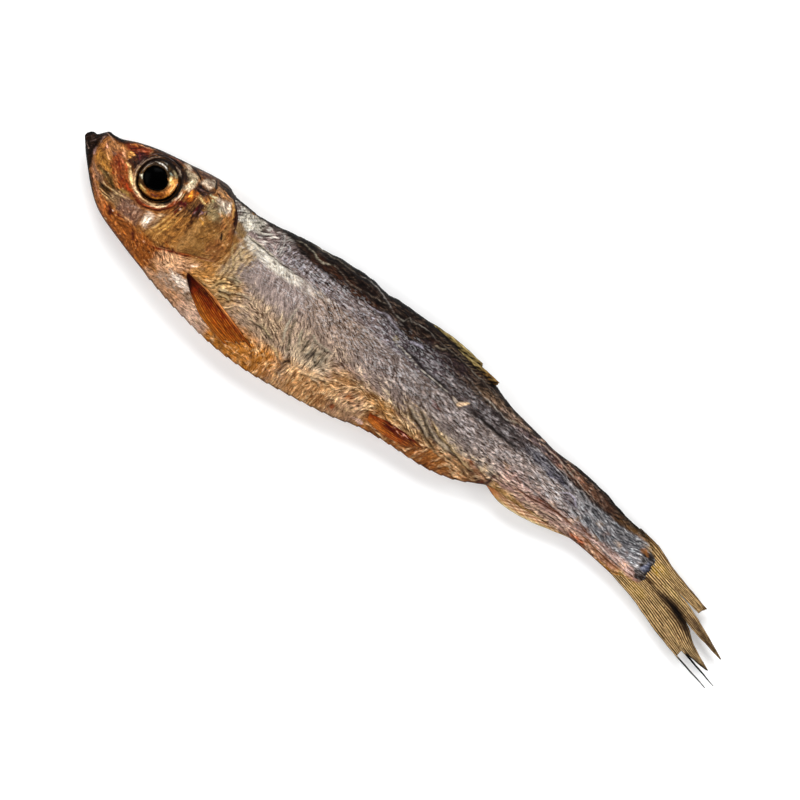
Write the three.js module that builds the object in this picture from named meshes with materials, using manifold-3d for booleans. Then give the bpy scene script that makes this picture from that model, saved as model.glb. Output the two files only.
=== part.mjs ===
// A whole dried Baltic sprat lying on its right flank, left side up, in millimetres with +Z up.
// The fish lies along X, snout towards -X and back towards +Y. Its head, trunk and fins are one
// grown piece. The two eyeballs sit loose in their sockets, so each is a piece of its own.
//
// Places are given in the fish's own frame: x from the snout to the tail, y towards the back with
// 0 at the snout, z up from the surface that it lies on. The last lines put the origin under the
// middle of the fish.
import * as THREE from "three";
import { mergeVertices } from "three/addons/utils/BufferGeometryUtils.js";
import Module from "manifold-3d";

const { clamp, lerp, smoothstep } = THREE.MathUtils;
const wasm = await Module();
wasm.setup();

// Driving sizes. The body runs from the snout to the root of the tail fin.
const SNOUT_X = 0.4;
const TAIL_ROOT_X = 102.6;
const HEAD_END_X = 28;
const HEAD_RING_STEP = 0.85;
const TRUNK_RING_STEP = 2.2;
const POINTS_ROUND_RING = 32;

// The outline seen from the left side, as [x, y]: the back without its fin, and the belly.
const BACK_LINE = [
  [0.4, 0.15], [1.1, 1.0], [1.7, 1.25], [2.8, 2.5], [4.8, 2.95], [7, 3.95], [10, 5.05],
  [15, 6.25], [18.6, 7.05], [21, 7.25], [22.4, 6.8], [25, 6.6], [28, 6.8], [35, 8.3], [45, 9.85],
  [48.5, 9.6], [50, 9.9], [58, 10.2], [64, 9.7], [68.5, 9.1], [72, 8.2], [82, 7.2], [85, 7.4],
  [90, 7.1], [96, 6.2], [100, 6.0], [102.6, 5.3],
];
const BELLY_LINE = [
  [0.4, -0.15], [2.3, -2.2], [6, -5.5], [8.7, -7.2], [13, -8.5], [20, -10.1], [27, -11.3],
  [34, -11.9], [40, -11.6], [46, -10.6], [53, -9.1], [57, -7.8], [61, -7.1], [68, -6.35],
  [72, -5.2], [75.3, -3.5], [76.4, -2.9], [80, -2.6], [86, -1.9], [91, -1.2], [97, -1.4],
  [102.6, -1.9],
];

// Half the thickness from flank to flank, as [x, half thickness].
const HALF_THICKNESS = [
  [0.4, 0.35], [1.5, 1.0], [4, 1.75], [8, 2.6], [12, 3.25], [17, 4.0], [22, 4.45], [30, 4.65],
  [42, 4.65], [52, 4.35], [62, 3.8], [72, 3.1], [82, 2.35], [90, 1.85], [97, 1.5], [102.6, 0.7],
];

// Height of the plane of symmetry above the surface: level at the trunk, a little lower behind.
const MID_HEIGHT = [[0, 4.15], [25, 4.25], [55, 4.25], [75, 3.5], [92, 2.6], [104, 2.1], [120, 1.5]];

// How sharply the two flanks meet: 0.5 is round, 1 is a knife edge.
const KEEL_SHARPNESS = [[0, 0.5], [6, 0.55], [20, 0.72], [50, 0.78], [76, 0.7], [92, 0.55], [104, 0.5]];
const BACK_SHARPNESS = 0.52;

// Eye and socket. The eyeball is a flattened ball, its centre sunk below the cheek's surface, which
// is taken where the flank is widest.
const EYE_CENTRE = { x: 12.7, y: 1.35 };
const EYE_RADIUS = 3.7;
const EYE_HALF_DEPTH = 1.5;
const EYE_SUNK = 1.15;
const EYE_HEIGHT_SHARE = 0.62;
const SOCKET_GAP = 0.3;
const SOCKET_RIM = { height: 0.35, radius: EYE_RADIUS + 0.5, width: 0.6 };

// Gill cover: a round plate, a little longer than deep, that blends into the cheek ahead of it.
const GILL_COVER = { x: 18.4, y: 0.6, radius: 7.3, stretch: 0.86, step: 0.38, rim: 0.5, blend: [13, 20] };

// Share of the depth over which the relief fades out towards the belly and the back.
const EDGE_FADE = 0.12;

// Scutes: the row of small thorns along the keel of the belly.
const SCUTE_FIRST_X = 19;
const SCUTE_LAST_X = 74;
const SCUTE_PITCH = 1.72;
const SCUTE_LENGTH = 1.9;
const SCUTE_RADIUS = 0.42;
const SCUTE_LIFT_DEG = 12;
const SCUTE_SUNK = 0.18;

// A smooth function of x through [x, value] points.
function curveThrough(points) {
  const slope = points.map((_, i) => {
    const before = points[Math.max(i - 1, 0)];
    const after = points[Math.min(i + 1, points.length - 1)];
    return (after[1] - before[1]) / (after[0] - before[0]);
  });
  return (x) => {
    const next = points.findIndex((p) => p[0] >= x);
    if (next === 0) return points[0][1];
    if (next < 0) return points.at(-1)[1];
    const [x0, v0] = points[next - 1];
    const [x1, v1] = points[next];
    const span = x1 - x0;
    const t = (x - x0) / span;
    const rise = v0 + (v1 - v0) * t * t * (3 - 2 * t);
    return rise + span * t * (1 - t) * (slope[next - 1] * (1 - t) - slope[next] * t);
  };
}

const back = curveThrough(BACK_LINE);
const belly = curveThrough(BELLY_LINE);
const thickest = curveThrough(HALF_THICKNESS);
const midHeight = curveThrough(MID_HEIGHT);
const keelSharpness = curveThrough(KEEL_SHARPNESS);

// A ridge, or a furrow where height is negative, along a line through [x, y] points.
function ridge(points, height, width) {
  const line = curveThrough(points);
  const first = points[0][0];
  const last = points.at(-1)[0];
  return (x, y) => {
    const ends = smoothstep(x, first, first + 2 * width) * (1 - smoothstep(x, last - 2 * width, last));
    return height * ends * Math.exp(-(((y - line(x)) / width) ** 2));
  };
}

// A round swelling, or a hollow where height is negative.
function swelling(centreX, centreY, radiusX, radiusY, height) {
  return (x, y) => height * Math.exp(-(((x - centreX) / radiusX) ** 2) - ((y - centreY) / radiusY) ** 2);
}

// The gill cover is a plate: it stands a step above the shoulder along its round rear edge.
function gillCover(x, y) {
  const { radius, stretch, step, rim, blend } = GILL_COVER;
  const fromHub = Math.hypot(x - GILL_COVER.x, (y - GILL_COVER.y) * stretch);
  const inside = 1 - smoothstep(fromHub, radius - rim, radius + rim);
  return step * smoothstep(x, ...blend) * inside;
}

// A rim of bone round the socket.
function socketRim(x, y) {
  const fromCentre = Math.hypot(x - EYE_CENTRE.x, y - EYE_CENTRE.y);
  return SOCKET_RIM.height * Math.exp(-(((fromCentre - SOCKET_RIM.radius) / SOCKET_RIM.width) ** 2));
}

// What stands out of the plain flank or sinks into it as the fish dries.
const RELIEF = [
  gillCover,
  socketRim,
  // Hollow cheek.
  swelling(10.5, -4.6, 3.4, 1.3, -0.35),
  // Groove and raised edge between the two plates of the gill cover.
  swelling(20.4, -1, 0.7, 3.6, -0.25),
  swelling(18.8, -1.5, 1.1, 3.2, 0.22),
  // Sunken shoulder behind the gill cover.
  swelling(26.8, -1, 0.9, 5, -0.3),
  // Shrunken flank behind the belly.
  swelling(64, -1.5, 6, 1.8, -0.3),
  // Mouth, from under the snout to the cheek.
  ridge([[2.2, 1.0], [2.9, -1.2], [5, -3], [9, -4.3], [11, -4.6]], -0.3, 0.5),
  // Lower edge of the gill cover.
  ridge([[13, -6.6], [18, -6.4], [22, -4.6], [26.2, -2.9]], -0.22, 0.5),
  // Sunken line along the middle of the flank, with a raised fold below it.
  ridge([[27, 3.5], [45, 4.3], [60, 4.3], [76, 4.1], [90, 3.4], [101, 2.4]], -0.3, 0.6),
  ridge([[27, 2.2], [45, 2.6], [62, 2.6], [80, 2.5], [100, 1.6]], 0.22, 0.9),
  // Sunken line and fold under the back.
  ridge([[30, 6.3], [45, 6.7], [55, 6.9], [66, 6.5], [82, 5.9], [98, 5.0]], -0.3, 0.5),
  ridge([[36, 7.4], [44, 8.7], [54, 8.6], [66, 8.2], [76, 7.0]], 0.22, 0.5),
  // Fold along the lower tail.
  ridge([[78, -0.6], [84, -0.5], [88, 0.2], [94, 0.1]], -0.25, 0.6),
];
const relief = (x, y) => RELIEF.reduce((sum, form) => sum + form(x, y), 0);

// Half thickness at the height share h: 0 on the keel of the belly, 1 on the ridge of the back.
function halfThickness(x, h) {
  const keel = keelSharpness(x);
  const widest = keel / (keel + BACK_SHARPNESS);
  const full = (h / widest) ** keel * ((1 - h) / (1 - widest)) ** BACK_SHARPNESS;
  return thickest(x) * full;
}

// A point of the skin. side is 1 on the left flank, which is up, and -1 on the right one, which
// has dried flat where it lies on the surface.
function skin(x, h, side) {
  const y = lerp(belly(x), back(x), h);
  const edgeFade = smoothstep(h, 0, EDGE_FADE) * (1 - smoothstep(h, 1 - EDGE_FADE, 1));
  const out = halfThickness(x, h) + relief(x, y) * edgeFade;
  return new THREE.Vector3(x, y, Math.max(midHeight(x) + side * out, 0));
}

// The same, by x and y.
function skinAt(x, y, side) {
  const h = clamp((y - belly(x)) / (back(x) - belly(x)), 0.01, 0.99);
  return skin(x, h, side).z;
}

// A closed geometry as a solid that can be joined and cut.
function solidOf(geometry) {
  const bare = geometry.clone();
  bare.deleteAttribute("normal");
  bare.deleteAttribute("uv");
  const merged = mergeVertices(bare, 1e-4);
  const mesh = new wasm.Mesh({
    numProp: 3,
    vertProperties: new Float32Array(merged.attributes.position.array),
    triVerts: new Uint32Array(merged.index.array),
  });
  return new wasm.Manifold(mesh);
}

// A solid as a geometry with flat faces.
function geometryOf(solid) {
  const mesh = solid.getMesh();
  const geometry = new THREE.BufferGeometry();
  geometry.setAttribute("position", new THREE.BufferAttribute(mesh.vertProperties, mesh.numProp));
  geometry.setIndex(new THREE.BufferAttribute(mesh.triVerts, 1));
  const flat = geometry.toNonIndexed();
  flat.computeVertexNormals();
  return flat;
}

// Moves every vertex of a geometry to where place(vertex) says.
function reshape(geometry, place) {
  const positions = geometry.attributes.position;
  const vertex = new THREE.Vector3();
  for (let i = 0; i < positions.count; i++) {
    vertex.fromBufferAttribute(positions, i);
    positions.setXYZ(i, ...place(vertex).toArray());
  }
  return geometry;
}

// Ring positions along the body, close together on the head.
function ringPositions() {
  const rings = [];
  for (let x = SNOUT_X; x < HEAD_END_X; x += HEAD_RING_STEP) rings.push(x);
  for (let x = HEAD_END_X; x < TAIL_ROOT_X; x += TRUNK_RING_STEP) rings.push(x);
  rings.push(TAIL_ROOT_X);
  return rings;
}

// Head and trunk: a cylinder whose rings are moved onto the sections of the fish.
function makeTrunk() {
  const rings = ringPositions();
  const steps = rings.length - 1;
  const cylinder = new THREE.CylinderGeometry(1, 1, 1, POINTS_ROUND_RING, steps);
  return reshape(cylinder, (v) => {
    const x = rings[Math.round((v.y + 0.5) * steps)];
    const onRing = Math.hypot(v.x, v.z) > 0.5;
    if (!onRing) return new THREE.Vector3(x, (belly(x) + back(x)) / 2, midHeight(x));
    const h = clamp((1 + v.z) / 2, 0, 1);
    return skin(x, h, v.x < 0 ? -1 : 1);
  });
}

// A bar along a path, as wide and as thick as two functions of the share along it say. Fin rays
// are made of it. Nothing of it goes under the surface that the fish lies on.
function makeBar(path, width, thickness, steps) {
  const box = new THREE.BoxGeometry(1, 1, 1, steps, 1, 1);
  return reshape(box, (v) => {
    const t = v.x + 0.5;
    const centre = path(t);
    const ahead = path(Math.min(t + 0.01, 1)).sub(path(Math.max(t - 0.01, 0)));
    const across = new THREE.Vector3(-ahead.y, ahead.x, 0).normalize();
    centre.addScaledVector(across, v.y * width(t));
    centre.z = Math.max(centre.z + v.z * thickness(t), 0);
    return centre;
  });
}

// Rays side by side between the upper and the lower edge of a fin, both given from root to tip.
// Neighbours overlap, and every other ray stands a little higher, so the fin is one ribbed leaf.
const RAY_OVERLAP = 1.3;
const RAY_STAGGER = 0.12;
const THINNEST_RAY = 0.26;

function makeFan({ upper, lower, rays, steps, thickness }, heightAt) {
  const [above, below] = [upper, lower].map(
    (edge) => new THREE.SplineCurve(edge.map(([x, y]) => new THREE.Vector2(x, y))),
  );
  const width = (t) => {
    const open = above.getPoint(t).distanceTo(below.getPoint(t));
    return Math.max((open / rays) * RAY_OVERLAP, THINNEST_RAY);
  };
  return Array.from({ length: rays }, (_, i) => {
    const share = (i + 0.5) / rays;
    const path = (t) => {
      const place = above.getPoint(t).lerp(below.getPoint(t), share);
      return new THREE.Vector3(place.x, place.y, heightAt(place.x, place.y) + RAY_STAGGER * (i % 2));
    };
    return makeBar(path, width, (t) => lerp(thickness.root, thickness.tip, t ** 0.7), steps);
  });
}

// The paired fins lie folded against the flanks.
const PECTORAL_FIN = {
  upper: [[24.2, -6.1], [28, -6.5], [32.5, -7.2], [38.2, -8.3]],
  lower: [[24.6, -6.9], [27.2, -8.7], [30.4, -10.1], [34.6, -10.7]],
  rays: 7,
  steps: 5,
  thickness: { root: 1.1, tip: 0.7 },
};
const PELVIC_FIN = {
  upper: [[57.2, -5.2], [60, -4.7], [63, -4.4], [66.6, -4.4]],
  lower: [[57.6, -6.2], [59.5, -6.5], [61.5, -6.4], [64.4, -5.8]],
  rays: 4,
  steps: 3,
  thickness: { root: 1.0, tip: 0.7 },
};
const LOWEST_RAY = 0.2;
const makeFlankFin = (fin, side) => makeFan(fin, (x, y) => Math.max(skinAt(x, y, side), LOWEST_RAY));

// Short rays in a row along the ridge of the back or the keel of the belly, folded backwards.
const MIDLINE_RAY = { root: 1.0, tip: 0.55, rootDepth: 0.5, taper: 0.6, stagger: 0.08 };

function makeMidlineFin({ firstX, lastX, rays, edge, sign, reach, rise, thickness }) {
  const { root, tip, rootDepth, taper, stagger } = MIDLINE_RAY;
  return Array.from({ length: rays }, (_, i) => {
    const share = i / (rays - 1);
    const rootX = lerp(firstX, lastX, share);
    const path = (t) => {
      const x = rootX + reach * t;
      const y = edge(x) + sign * (rise(share) * Math.sin((t * Math.PI) / 2) - rootDepth);
      return new THREE.Vector3(x, y, midHeight(x) + stagger * (i % 2));
    };
    const across = (t) => lerp(root, tip, t);
    const through = (t) => lerp(thickness, thickness * taper, t);
    return makeBar(path, across, through, 2);
  });
}

const DORSAL_FIN = {
  firstX: 53.5,
  lastX: 64.5,
  rays: 9,
  edge: back,
  sign: 1,
  reach: 4.4,
  rise: (share) => lerp(0.55, 0.75, share) + 0.15 * Math.sin(share * Math.PI),
  thickness: 1.1,
};
const ANAL_FIN = {
  firstX: 76.6,
  lastX: 88.5,
  rays: 11,
  edge: belly,
  sign: -1,
  reach: 3.2,
  rise: (share) => lerp(1.35, 0.45, share ** 1.3),
  thickness: 0.9,
};

// The frayed tail fin, part by part from the top: it is whole near the root and torn into four
// parts behind. The last two are broken single rays.
const TAIL_THICKNESS = { root: 1.1, tip: 0.4 };
const TAIL_PARTS = [
  {
    upper: [[99, 5.9], [104, 4.95], [108, 4.05], [112.3, 3.25]],
    lower: [[99, 3.6], [104, 3.1], [108, 2.5], [111.7, 2.0]],
    rays: 6,
  },
  {
    upper: [[99, 3.9], [104, 3.2], [110, 1.95], [114, 0.6], [118.5, -1.1]],
    lower: [[99, 1.6], [104, 0.9], [110, 0.05], [114, -0.6], [118.4, -1.2]],
    rays: 7,
  },
  {
    upper: [[99, 1.8], [104, 1.1], [110.6, 0.1], [114, -1.9], [118, -3.55]],
    lower: [[99, 0.0], [104, -0.6], [109, -1.9], [113.4, -3.4], [117.8, -3.65]],
    rays: 6,
  },
  {
    upper: [[99, 0.2], [104, -0.4], [109, -1.7], [113.2, -3.3]],
    lower: [[99, -1.8], [104, -2.6], [108.5, -3.85], [113.1, -4.75]],
    rays: 7,
  },
  {
    upper: [[108, -2.3], [112, -3.2], [116, -3.95], [119.9, -4.65]],
    lower: [[108, -2.5], [112, -3.4], [116, -4.15], [119.9, -4.85]],
    rays: 1,
  },
  {
    upper: [[108, -3.5], [112.5, -4.5], [116, -5.1], [119.1, -5.6]],
    lower: [[108, -3.7], [112.5, -4.7], [116, -5.3], [119.1, -5.8]],
    rays: 1,
  },
];
const makeTailPart = (part) => makeFan({ ...part, steps: 4, thickness: TAIL_THICKNESS }, midHeight);

// One thorn of the belly keel, pointing backwards and a little out of the belly.
function makeScute(x) {
  const cone = new THREE.ConeGeometry(SCUTE_RADIUS, SCUTE_LENGTH, 4);
  cone.rotateZ(-Math.PI / 2);
  const slope = Math.atan2(belly(x + 1) - belly(x - 1), 2);
  cone.rotateZ(slope - THREE.MathUtils.degToRad(SCUTE_LIFT_DEG));
  cone.translate(x, belly(x) + SCUTE_SUNK, midHeight(x));
  return cone;
}

function makeScutes() {
  const scutes = [];
  for (let x = SCUTE_FIRST_X; x <= SCUTE_LAST_X; x += SCUTE_PITCH) scutes.push(makeScute(x));
  return scutes;
}

// An eyeball, or its socket where the gap is more than 0.
function makeEye(side, gap) {
  const ball = new THREE.SphereGeometry(1, 20, 12);
  ball.rotateX(Math.PI / 2);
  ball.scale(EYE_RADIUS + gap, EYE_RADIUS + gap, EYE_HALF_DEPTH + gap);
  const middle = midHeight(EYE_CENTRE.x);
  const surface = halfThickness(EYE_CENTRE.x, EYE_HEIGHT_SHARE);
  ball.translate(EYE_CENTRE.x, EYE_CENTRE.y, middle + side * (surface - EYE_SUNK));
  return ball;
}

function makeBody() {
  const grown = [
    makeTrunk(),
    ...makeScutes(),
    ...makeMidlineFin(DORSAL_FIN),
    ...makeMidlineFin(ANAL_FIN),
    ...TAIL_PARTS.flatMap(makeTailPart),
    ...[1, -1].flatMap((side) => makeFlankFin(PECTORAL_FIN, side)),
    ...[1, -1].flatMap((side) => makeFlankFin(PELVIC_FIN, side)),
  ].map(solidOf);
  const sockets = [1, -1].map((side) => solidOf(makeEye(side, SOCKET_GAP)));
  return geometryOf(wasm.Manifold.union(grown).subtract(wasm.Manifold.union(sockets)));
}

const skinMaterial = new THREE.MeshStandardMaterial({ color: 0x8d7355, roughness: 0.45, metalness: 0.1 });
const eyeMaterial = new THREE.MeshStandardMaterial({ color: 0x2a1a0e, roughness: 0.2, metalness: 0 });

function addPiece(group, name, geometry, material) {
  const piece = new THREE.Mesh(geometry, material);
  piece.name = name;
  group.add(piece);
}

const fish = new THREE.Group();
addPiece(fish, "body", makeBody(), skinMaterial);
addPiece(fish, "eye_left", makeEye(1, 0), eyeMaterial);
addPiece(fish, "eye_right", makeEye(-1, 0), eyeMaterial);

// The origin goes under the middle of the fish, on the surface that it lies on.
const extent = new THREE.Box3().setFromObject(fish, true);
const middle = extent.getCenter(new THREE.Vector3());
fish.position.set(-middle.x, -middle.y, -extent.min.z);

export default fish;
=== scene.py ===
# The looks of a dried Baltic sprat: skin with its wrinkles and oily colours, eyes, fins and tail.
# Lengths in the functions are millimetres in the fish's own frame: x from the snout to the tail,
# y towards the back, z up from the surface that the fish lies on. place() turns them to metres in
# the part's frame.
import bpy
import math
import numpy as np
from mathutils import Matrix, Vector


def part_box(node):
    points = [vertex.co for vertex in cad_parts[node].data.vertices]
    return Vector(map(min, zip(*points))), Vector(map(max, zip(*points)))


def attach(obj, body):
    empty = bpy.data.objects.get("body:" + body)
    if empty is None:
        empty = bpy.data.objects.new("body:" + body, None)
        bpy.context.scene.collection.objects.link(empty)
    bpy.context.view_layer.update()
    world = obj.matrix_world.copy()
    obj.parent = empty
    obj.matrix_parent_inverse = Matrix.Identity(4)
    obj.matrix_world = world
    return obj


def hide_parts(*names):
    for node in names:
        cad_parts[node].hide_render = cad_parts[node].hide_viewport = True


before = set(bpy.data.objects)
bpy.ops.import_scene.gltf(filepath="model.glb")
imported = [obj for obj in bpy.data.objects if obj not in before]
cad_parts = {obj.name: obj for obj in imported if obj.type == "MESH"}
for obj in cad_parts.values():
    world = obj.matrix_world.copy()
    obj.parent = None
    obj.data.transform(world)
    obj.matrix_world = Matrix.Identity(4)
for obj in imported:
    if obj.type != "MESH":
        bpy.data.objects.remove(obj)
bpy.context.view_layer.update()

# The fish's frame
EYE_CENTRE, IRIS_CENTRE = (12.7, 1.35), (12.75, 1.45)
eye_low, eye_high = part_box("eye_left")
SHIFT_X = (eye_low[0] + eye_high[0]) / 2 - EYE_CENTRE[0] / 1000
SHIFT_Y = (eye_low[1] + eye_high[1]) / 2 - EYE_CENTRE[1] / 1000


def place(x, y, z):
    """Millimetres in the fish's frame to metres in the part's frame, as an (n, 3) array."""
    return np.stack([x / 1000 + SHIFT_X, y / 1000 + SHIFT_Y, z / 1000], axis=-1)


# Profiles, as in the solids
SNOUT_X = 0.4
TAIL_ROOT_X = 102.6
BACK_LINE = [
    (SNOUT_X, 0.45), (0.75, 0.95), (1.15, 1.15), (1.65, 1.2), (2.3, 2.0), (2.8, 2.55), (3.6, 2.6),
    (4.8, 2.85), (7, 3.95), (10, 5.05), (15, 6.25), (18.6, 7.05), (21, 7.25), (22.4, 6.8), (25, 6.6),
    (28, 6.8), (35, 8.3), (45, 9.85), (48.5, 9.6), (50, 9.9), (58, 10.2), (64, 9.7), (68.5, 9.1),
    (72, 8.2), (82, 7.2), (85, 7.4), (90, 7.1), (96, 6.2), (100, 6.0), (TAIL_ROOT_X, 5.3),
]
BELLY_LINE = [
    (SNOUT_X, -0.15), (2.3, -2.2), (6, -5.5), (8.7, -7.2), (13, -8.5), (20, -10.1), (27, -11.3),
    (34, -11.9), (40, -11.6), (46, -10.6), (53, -9.1), (57, -7.8), (61, -7.1), (68, -6.35),
    (72, -5.2), (75.3, -3.5), (76.4, -2.9), (80, -2.6), (86, -1.9), (91, -1.2), (97, -1.4),
    (TAIL_ROOT_X, -1.9),
]
HALF_THICKNESS = [
    (SNOUT_X, 0.35), (1.5, 1.0), (4, 1.75), (8, 2.6), (12, 3.25), (17, 4.0), (22, 4.45), (30, 4.65),
    (42, 4.65), (52, 4.35), (62, 3.8), (72, 3.1), (82, 2.35), (90, 1.85), (97, 1.5),
    (TAIL_ROOT_X, 0.7),
]
MID_HEIGHT = [(0, 4.15), (25, 4.25), (55, 4.25), (75, 3.5), (92, 2.6), (104, 2.1), (120, 1.5)]
KEEL_SHARPNESS = [(0, 0.5), (6, 0.55), (20, 0.72), (50, 0.78), (76, 0.7), (92, 0.55), (104, 0.5)]
BACK_SHARPNESS = 0.52

# The free rear edge of the gill cover and of the throat below it, as (y, x).
GILL_EDGE = [
    (-12, 11), (-9, 12.4), (-8.2, 13.5), (-7.2, 15.6), (-6.3, 18.2), (-5.2, 20.6), (-4, 23),
    (-3.1, 25.2), (-2.2, 26.4), (0, 26.7), (2, 26.1), (3.5, 25.4), (5, 24.3), (6, 23.1), (8, 22.2),
]
SCUTE_FIRST_X, SCUTE_LAST_X, SCUTE_PITCH = 19, 74, 1.72


def curve(points):
    """A smooth function through (place, value) points."""
    at = np.array([p[0] for p in points], float)
    value = np.array([p[1] for p in points], float)
    first = np.maximum(np.arange(len(at)) - 1, 0)
    last = np.minimum(np.arange(len(at)) + 1, len(at) - 1)
    slope = (value[last] - value[first]) / (at[last] - at[first])

    def follow(x):
        x = np.clip(np.asarray(x, float), at[0], at[-1])
        i = np.clip(np.searchsorted(at, x) - 1, 0, len(at) - 2)
        apart = at[i + 1] - at[i]
        t = (x - at[i]) / apart
        rise = value[i] + (value[i + 1] - value[i]) * t * t * (3 - 2 * t)
        return rise + apart * t * (1 - t) * (slope[i] * (1 - t) - slope[i + 1] * t)

    return follow


back_line = curve(BACK_LINE)
belly_line = curve(BELLY_LINE)
thickest = curve(HALF_THICKNESS)
mid_height = curve(MID_HEIGHT)
keel_sharpness = curve(KEEL_SHARPNESS)
gill_edge = curve(GILL_EDGE)


def smooth(x, low, high):
    """0 below low, 1 above high, with a soft step between. low may be the larger one."""
    t = np.clip((x - low) / (high - low), 0, 1)
    return t * t * (3 - 2 * t)


def span(x, start, full, last, end):
    """1 from full to last, with soft steps from 0 at start and to 0 at end."""
    return smooth(x, start, full) * smooth(x, end, last)


def bell(x, middle, width):
    """1 at the middle, and falling away on both sides."""
    return np.exp(-(((x - middle) / width) ** 2))


def share_up(x, y):
    """Where y lies between the belly's line, 0, and the line of the back, 1."""
    return (y - belly_line(x)) / (back_line(x) - belly_line(x))


def sector(turn, middle, outer, inner):
    """1 within inner degrees of the middle of a turn, and 0 beyond outer."""
    return smooth(np.abs(turn - middle), outer, inner)


def y_at(x, h):
    """The y of a share h of the way from the belly's line to the line of the back."""
    return belly_line(x) + (back_line(x) - belly_line(x)) * h


# Noise
def grain(x, y, seed):
    """Smooth noise from about -1 to 1, one bump to a unit."""
    cell_x = np.floor(x).astype(np.int64)
    cell_y = np.floor(y).astype(np.int64)
    in_x = x - cell_x
    in_y = y - cell_y
    ease_x = in_x ** 3 * (in_x * (in_x * 6 - 15) + 10)
    ease_y = in_y ** 3 * (in_y * (in_y * 6 - 15) + 10)

    def corner(i, j):
        mixed = (cell_x + i) * 374761393 + (cell_y + j) * 668265263 + seed * 974634777
        mixed = (mixed ^ (mixed >> 13)) * 1274126177
        mixed = mixed ^ (mixed >> 16)
        turn = (mixed & 0xFFFF) / 0x10000 * 2 * math.pi
        return np.cos(turn) * (in_x - i) + np.sin(turn) * (in_y - j)

    low = corner(0, 0) * (1 - ease_x) + corner(1, 0) * ease_x
    high = corner(0, 1) * (1 - ease_x) + corner(1, 1) * ease_x
    return 1.5 * (low * (1 - ease_y) + high * ease_y)


def rough(x, y, seed, octaves=3):
    """Several sizes of noise on top of each other."""
    total = 0
    for k in range(octaves):
        total = total + grain(x * 2 ** k, y * 2 ** k, seed + 17 * k) / 2 ** k
    return total / 1.5


def streaks(x, y, angle, length, width, seed, octaves=2):
    """Noise drawn out along a direction in degrees, in mm."""
    c, s = math.cos(math.radians(angle)), math.sin(math.radians(angle))
    return rough((x * c + y * s) / length, (y * c - x * s) / width, seed, octaves)


# Marks on the skin
def pairs(run):
    """(x, y) points from a run of x, y, x, y and so on, which is how every mark gives its points."""
    return list(zip(run[::2], run[1::2]))


def distance(x, y, points):
    """How far each place is from a line of (x, y) points."""
    best = np.full(x.shape, 1e9)
    for (ax, ay), (bx, by) in zip(points, points[1:]):
        share = ((x - ax) * (bx - ax) + (y - ay) * (by - ay)) / ((bx - ax) ** 2 + (by - ay) ** 2)
        share = np.clip(share, 0, 1)
        gap = np.hypot(x - ax - share * (bx - ax), y - ay - share * (by - ay))
        best = np.minimum(best, gap)
    return best


def follow_path(points, shares):
    """The x and y of each share of the way along a smooth line through the points."""
    steps = np.linspace(0, 1, len(points))
    return [curve(list(zip(steps, values)))(shares) for values in zip(*points)]


def stroke(x, y, run, width, taper=0.3):
    """A soft stroke along a smooth line through a run of points: 1 in its middle, thin at both ends."""
    points = pairs(run)
    path_x, path_y = follow_path(points, np.linspace(0, 1, 4 * (len(points) - 1) + 1))
    reach = 2.6 * width
    near = (x > path_x.min() - reach) & (x < path_x.max() + reach)
    near[near] = (y[near] > path_y.min() - reach) & (y[near] < path_y.max() + reach)
    cover = np.zeros(len(x))
    if not near.any():
        return cover
    px, py = x[near], y[near]
    gap, at, run = np.full(len(px), 1e9), np.zeros(len(px)), 0.0
    for ax, ay, bx, by in zip(path_x, path_y, path_x[1:], path_y[1:]):
        length = math.hypot(bx - ax, by - ay)
        share = np.clip(((px - ax) * (bx - ax) + (py - ay) * (by - ay)) / length ** 2, 0, 1)
        here = np.hypot(px - ax - share * (bx - ax), py - ay - share * (by - ay))
        closer = here < gap
        gap = np.where(closer, here, gap)
        at = np.where(closer, run + share * length, at)
        run += length
    thin = smooth(at / run, 0, taper) * smooth(at / run, 1, 1 - taper) if taper > 0 else 1.0
    cover[near] = (0.25 + 0.75 * thin) * np.exp(-((gap / (width * (0.55 + 0.45 * thin))) ** 2))
    return cover


def spot(x, y, centre_x, centre_y, radius_x, radius_y, angle=0):
    """A soft oval: 1 inside, 0 outside, with an edge a third of its size."""
    c, s = math.cos(math.radians(angle)), math.sin(math.radians(angle))
    across = ((x - centre_x) * c + (y - centre_y) * s) / radius_x
    up = ((y - centre_y) * c - (x - centre_x) * s) / radius_y
    return 1 - smooth(np.hypot(across, up), 0.65, 1.15)


def area(x, y, run, soft):
    """1 inside a polygon with a run of corners, 0 outside, over a soft edge of that many mm."""
    corners = pairs(run)
    inside = np.zeros(x.shape, bool)
    closed = corners + corners[:1]
    for (ax, ay), (bx, by) in zip(closed, closed[1:]):
        crosses = (ay > y) != (by > y)
        reach = (bx - ax) * (y - ay) / ((by - ay) if by != ay else 1e-9) + ax
        inside ^= crosses & (x < reach)
    gap = distance(x, y, closed)
    return smooth(np.where(inside, gap, -gap), -soft, soft)


def linear(code):
    """An sRGB hex colour as linear red, green and blue."""
    parts = [int(code[i:i + 2], 16) / 255 for i in (1, 3, 5)]
    return [p / 12.92 if p <= 0.04045 else ((p + 0.055) / 1.055) ** 2.4 for p in parts]


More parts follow.
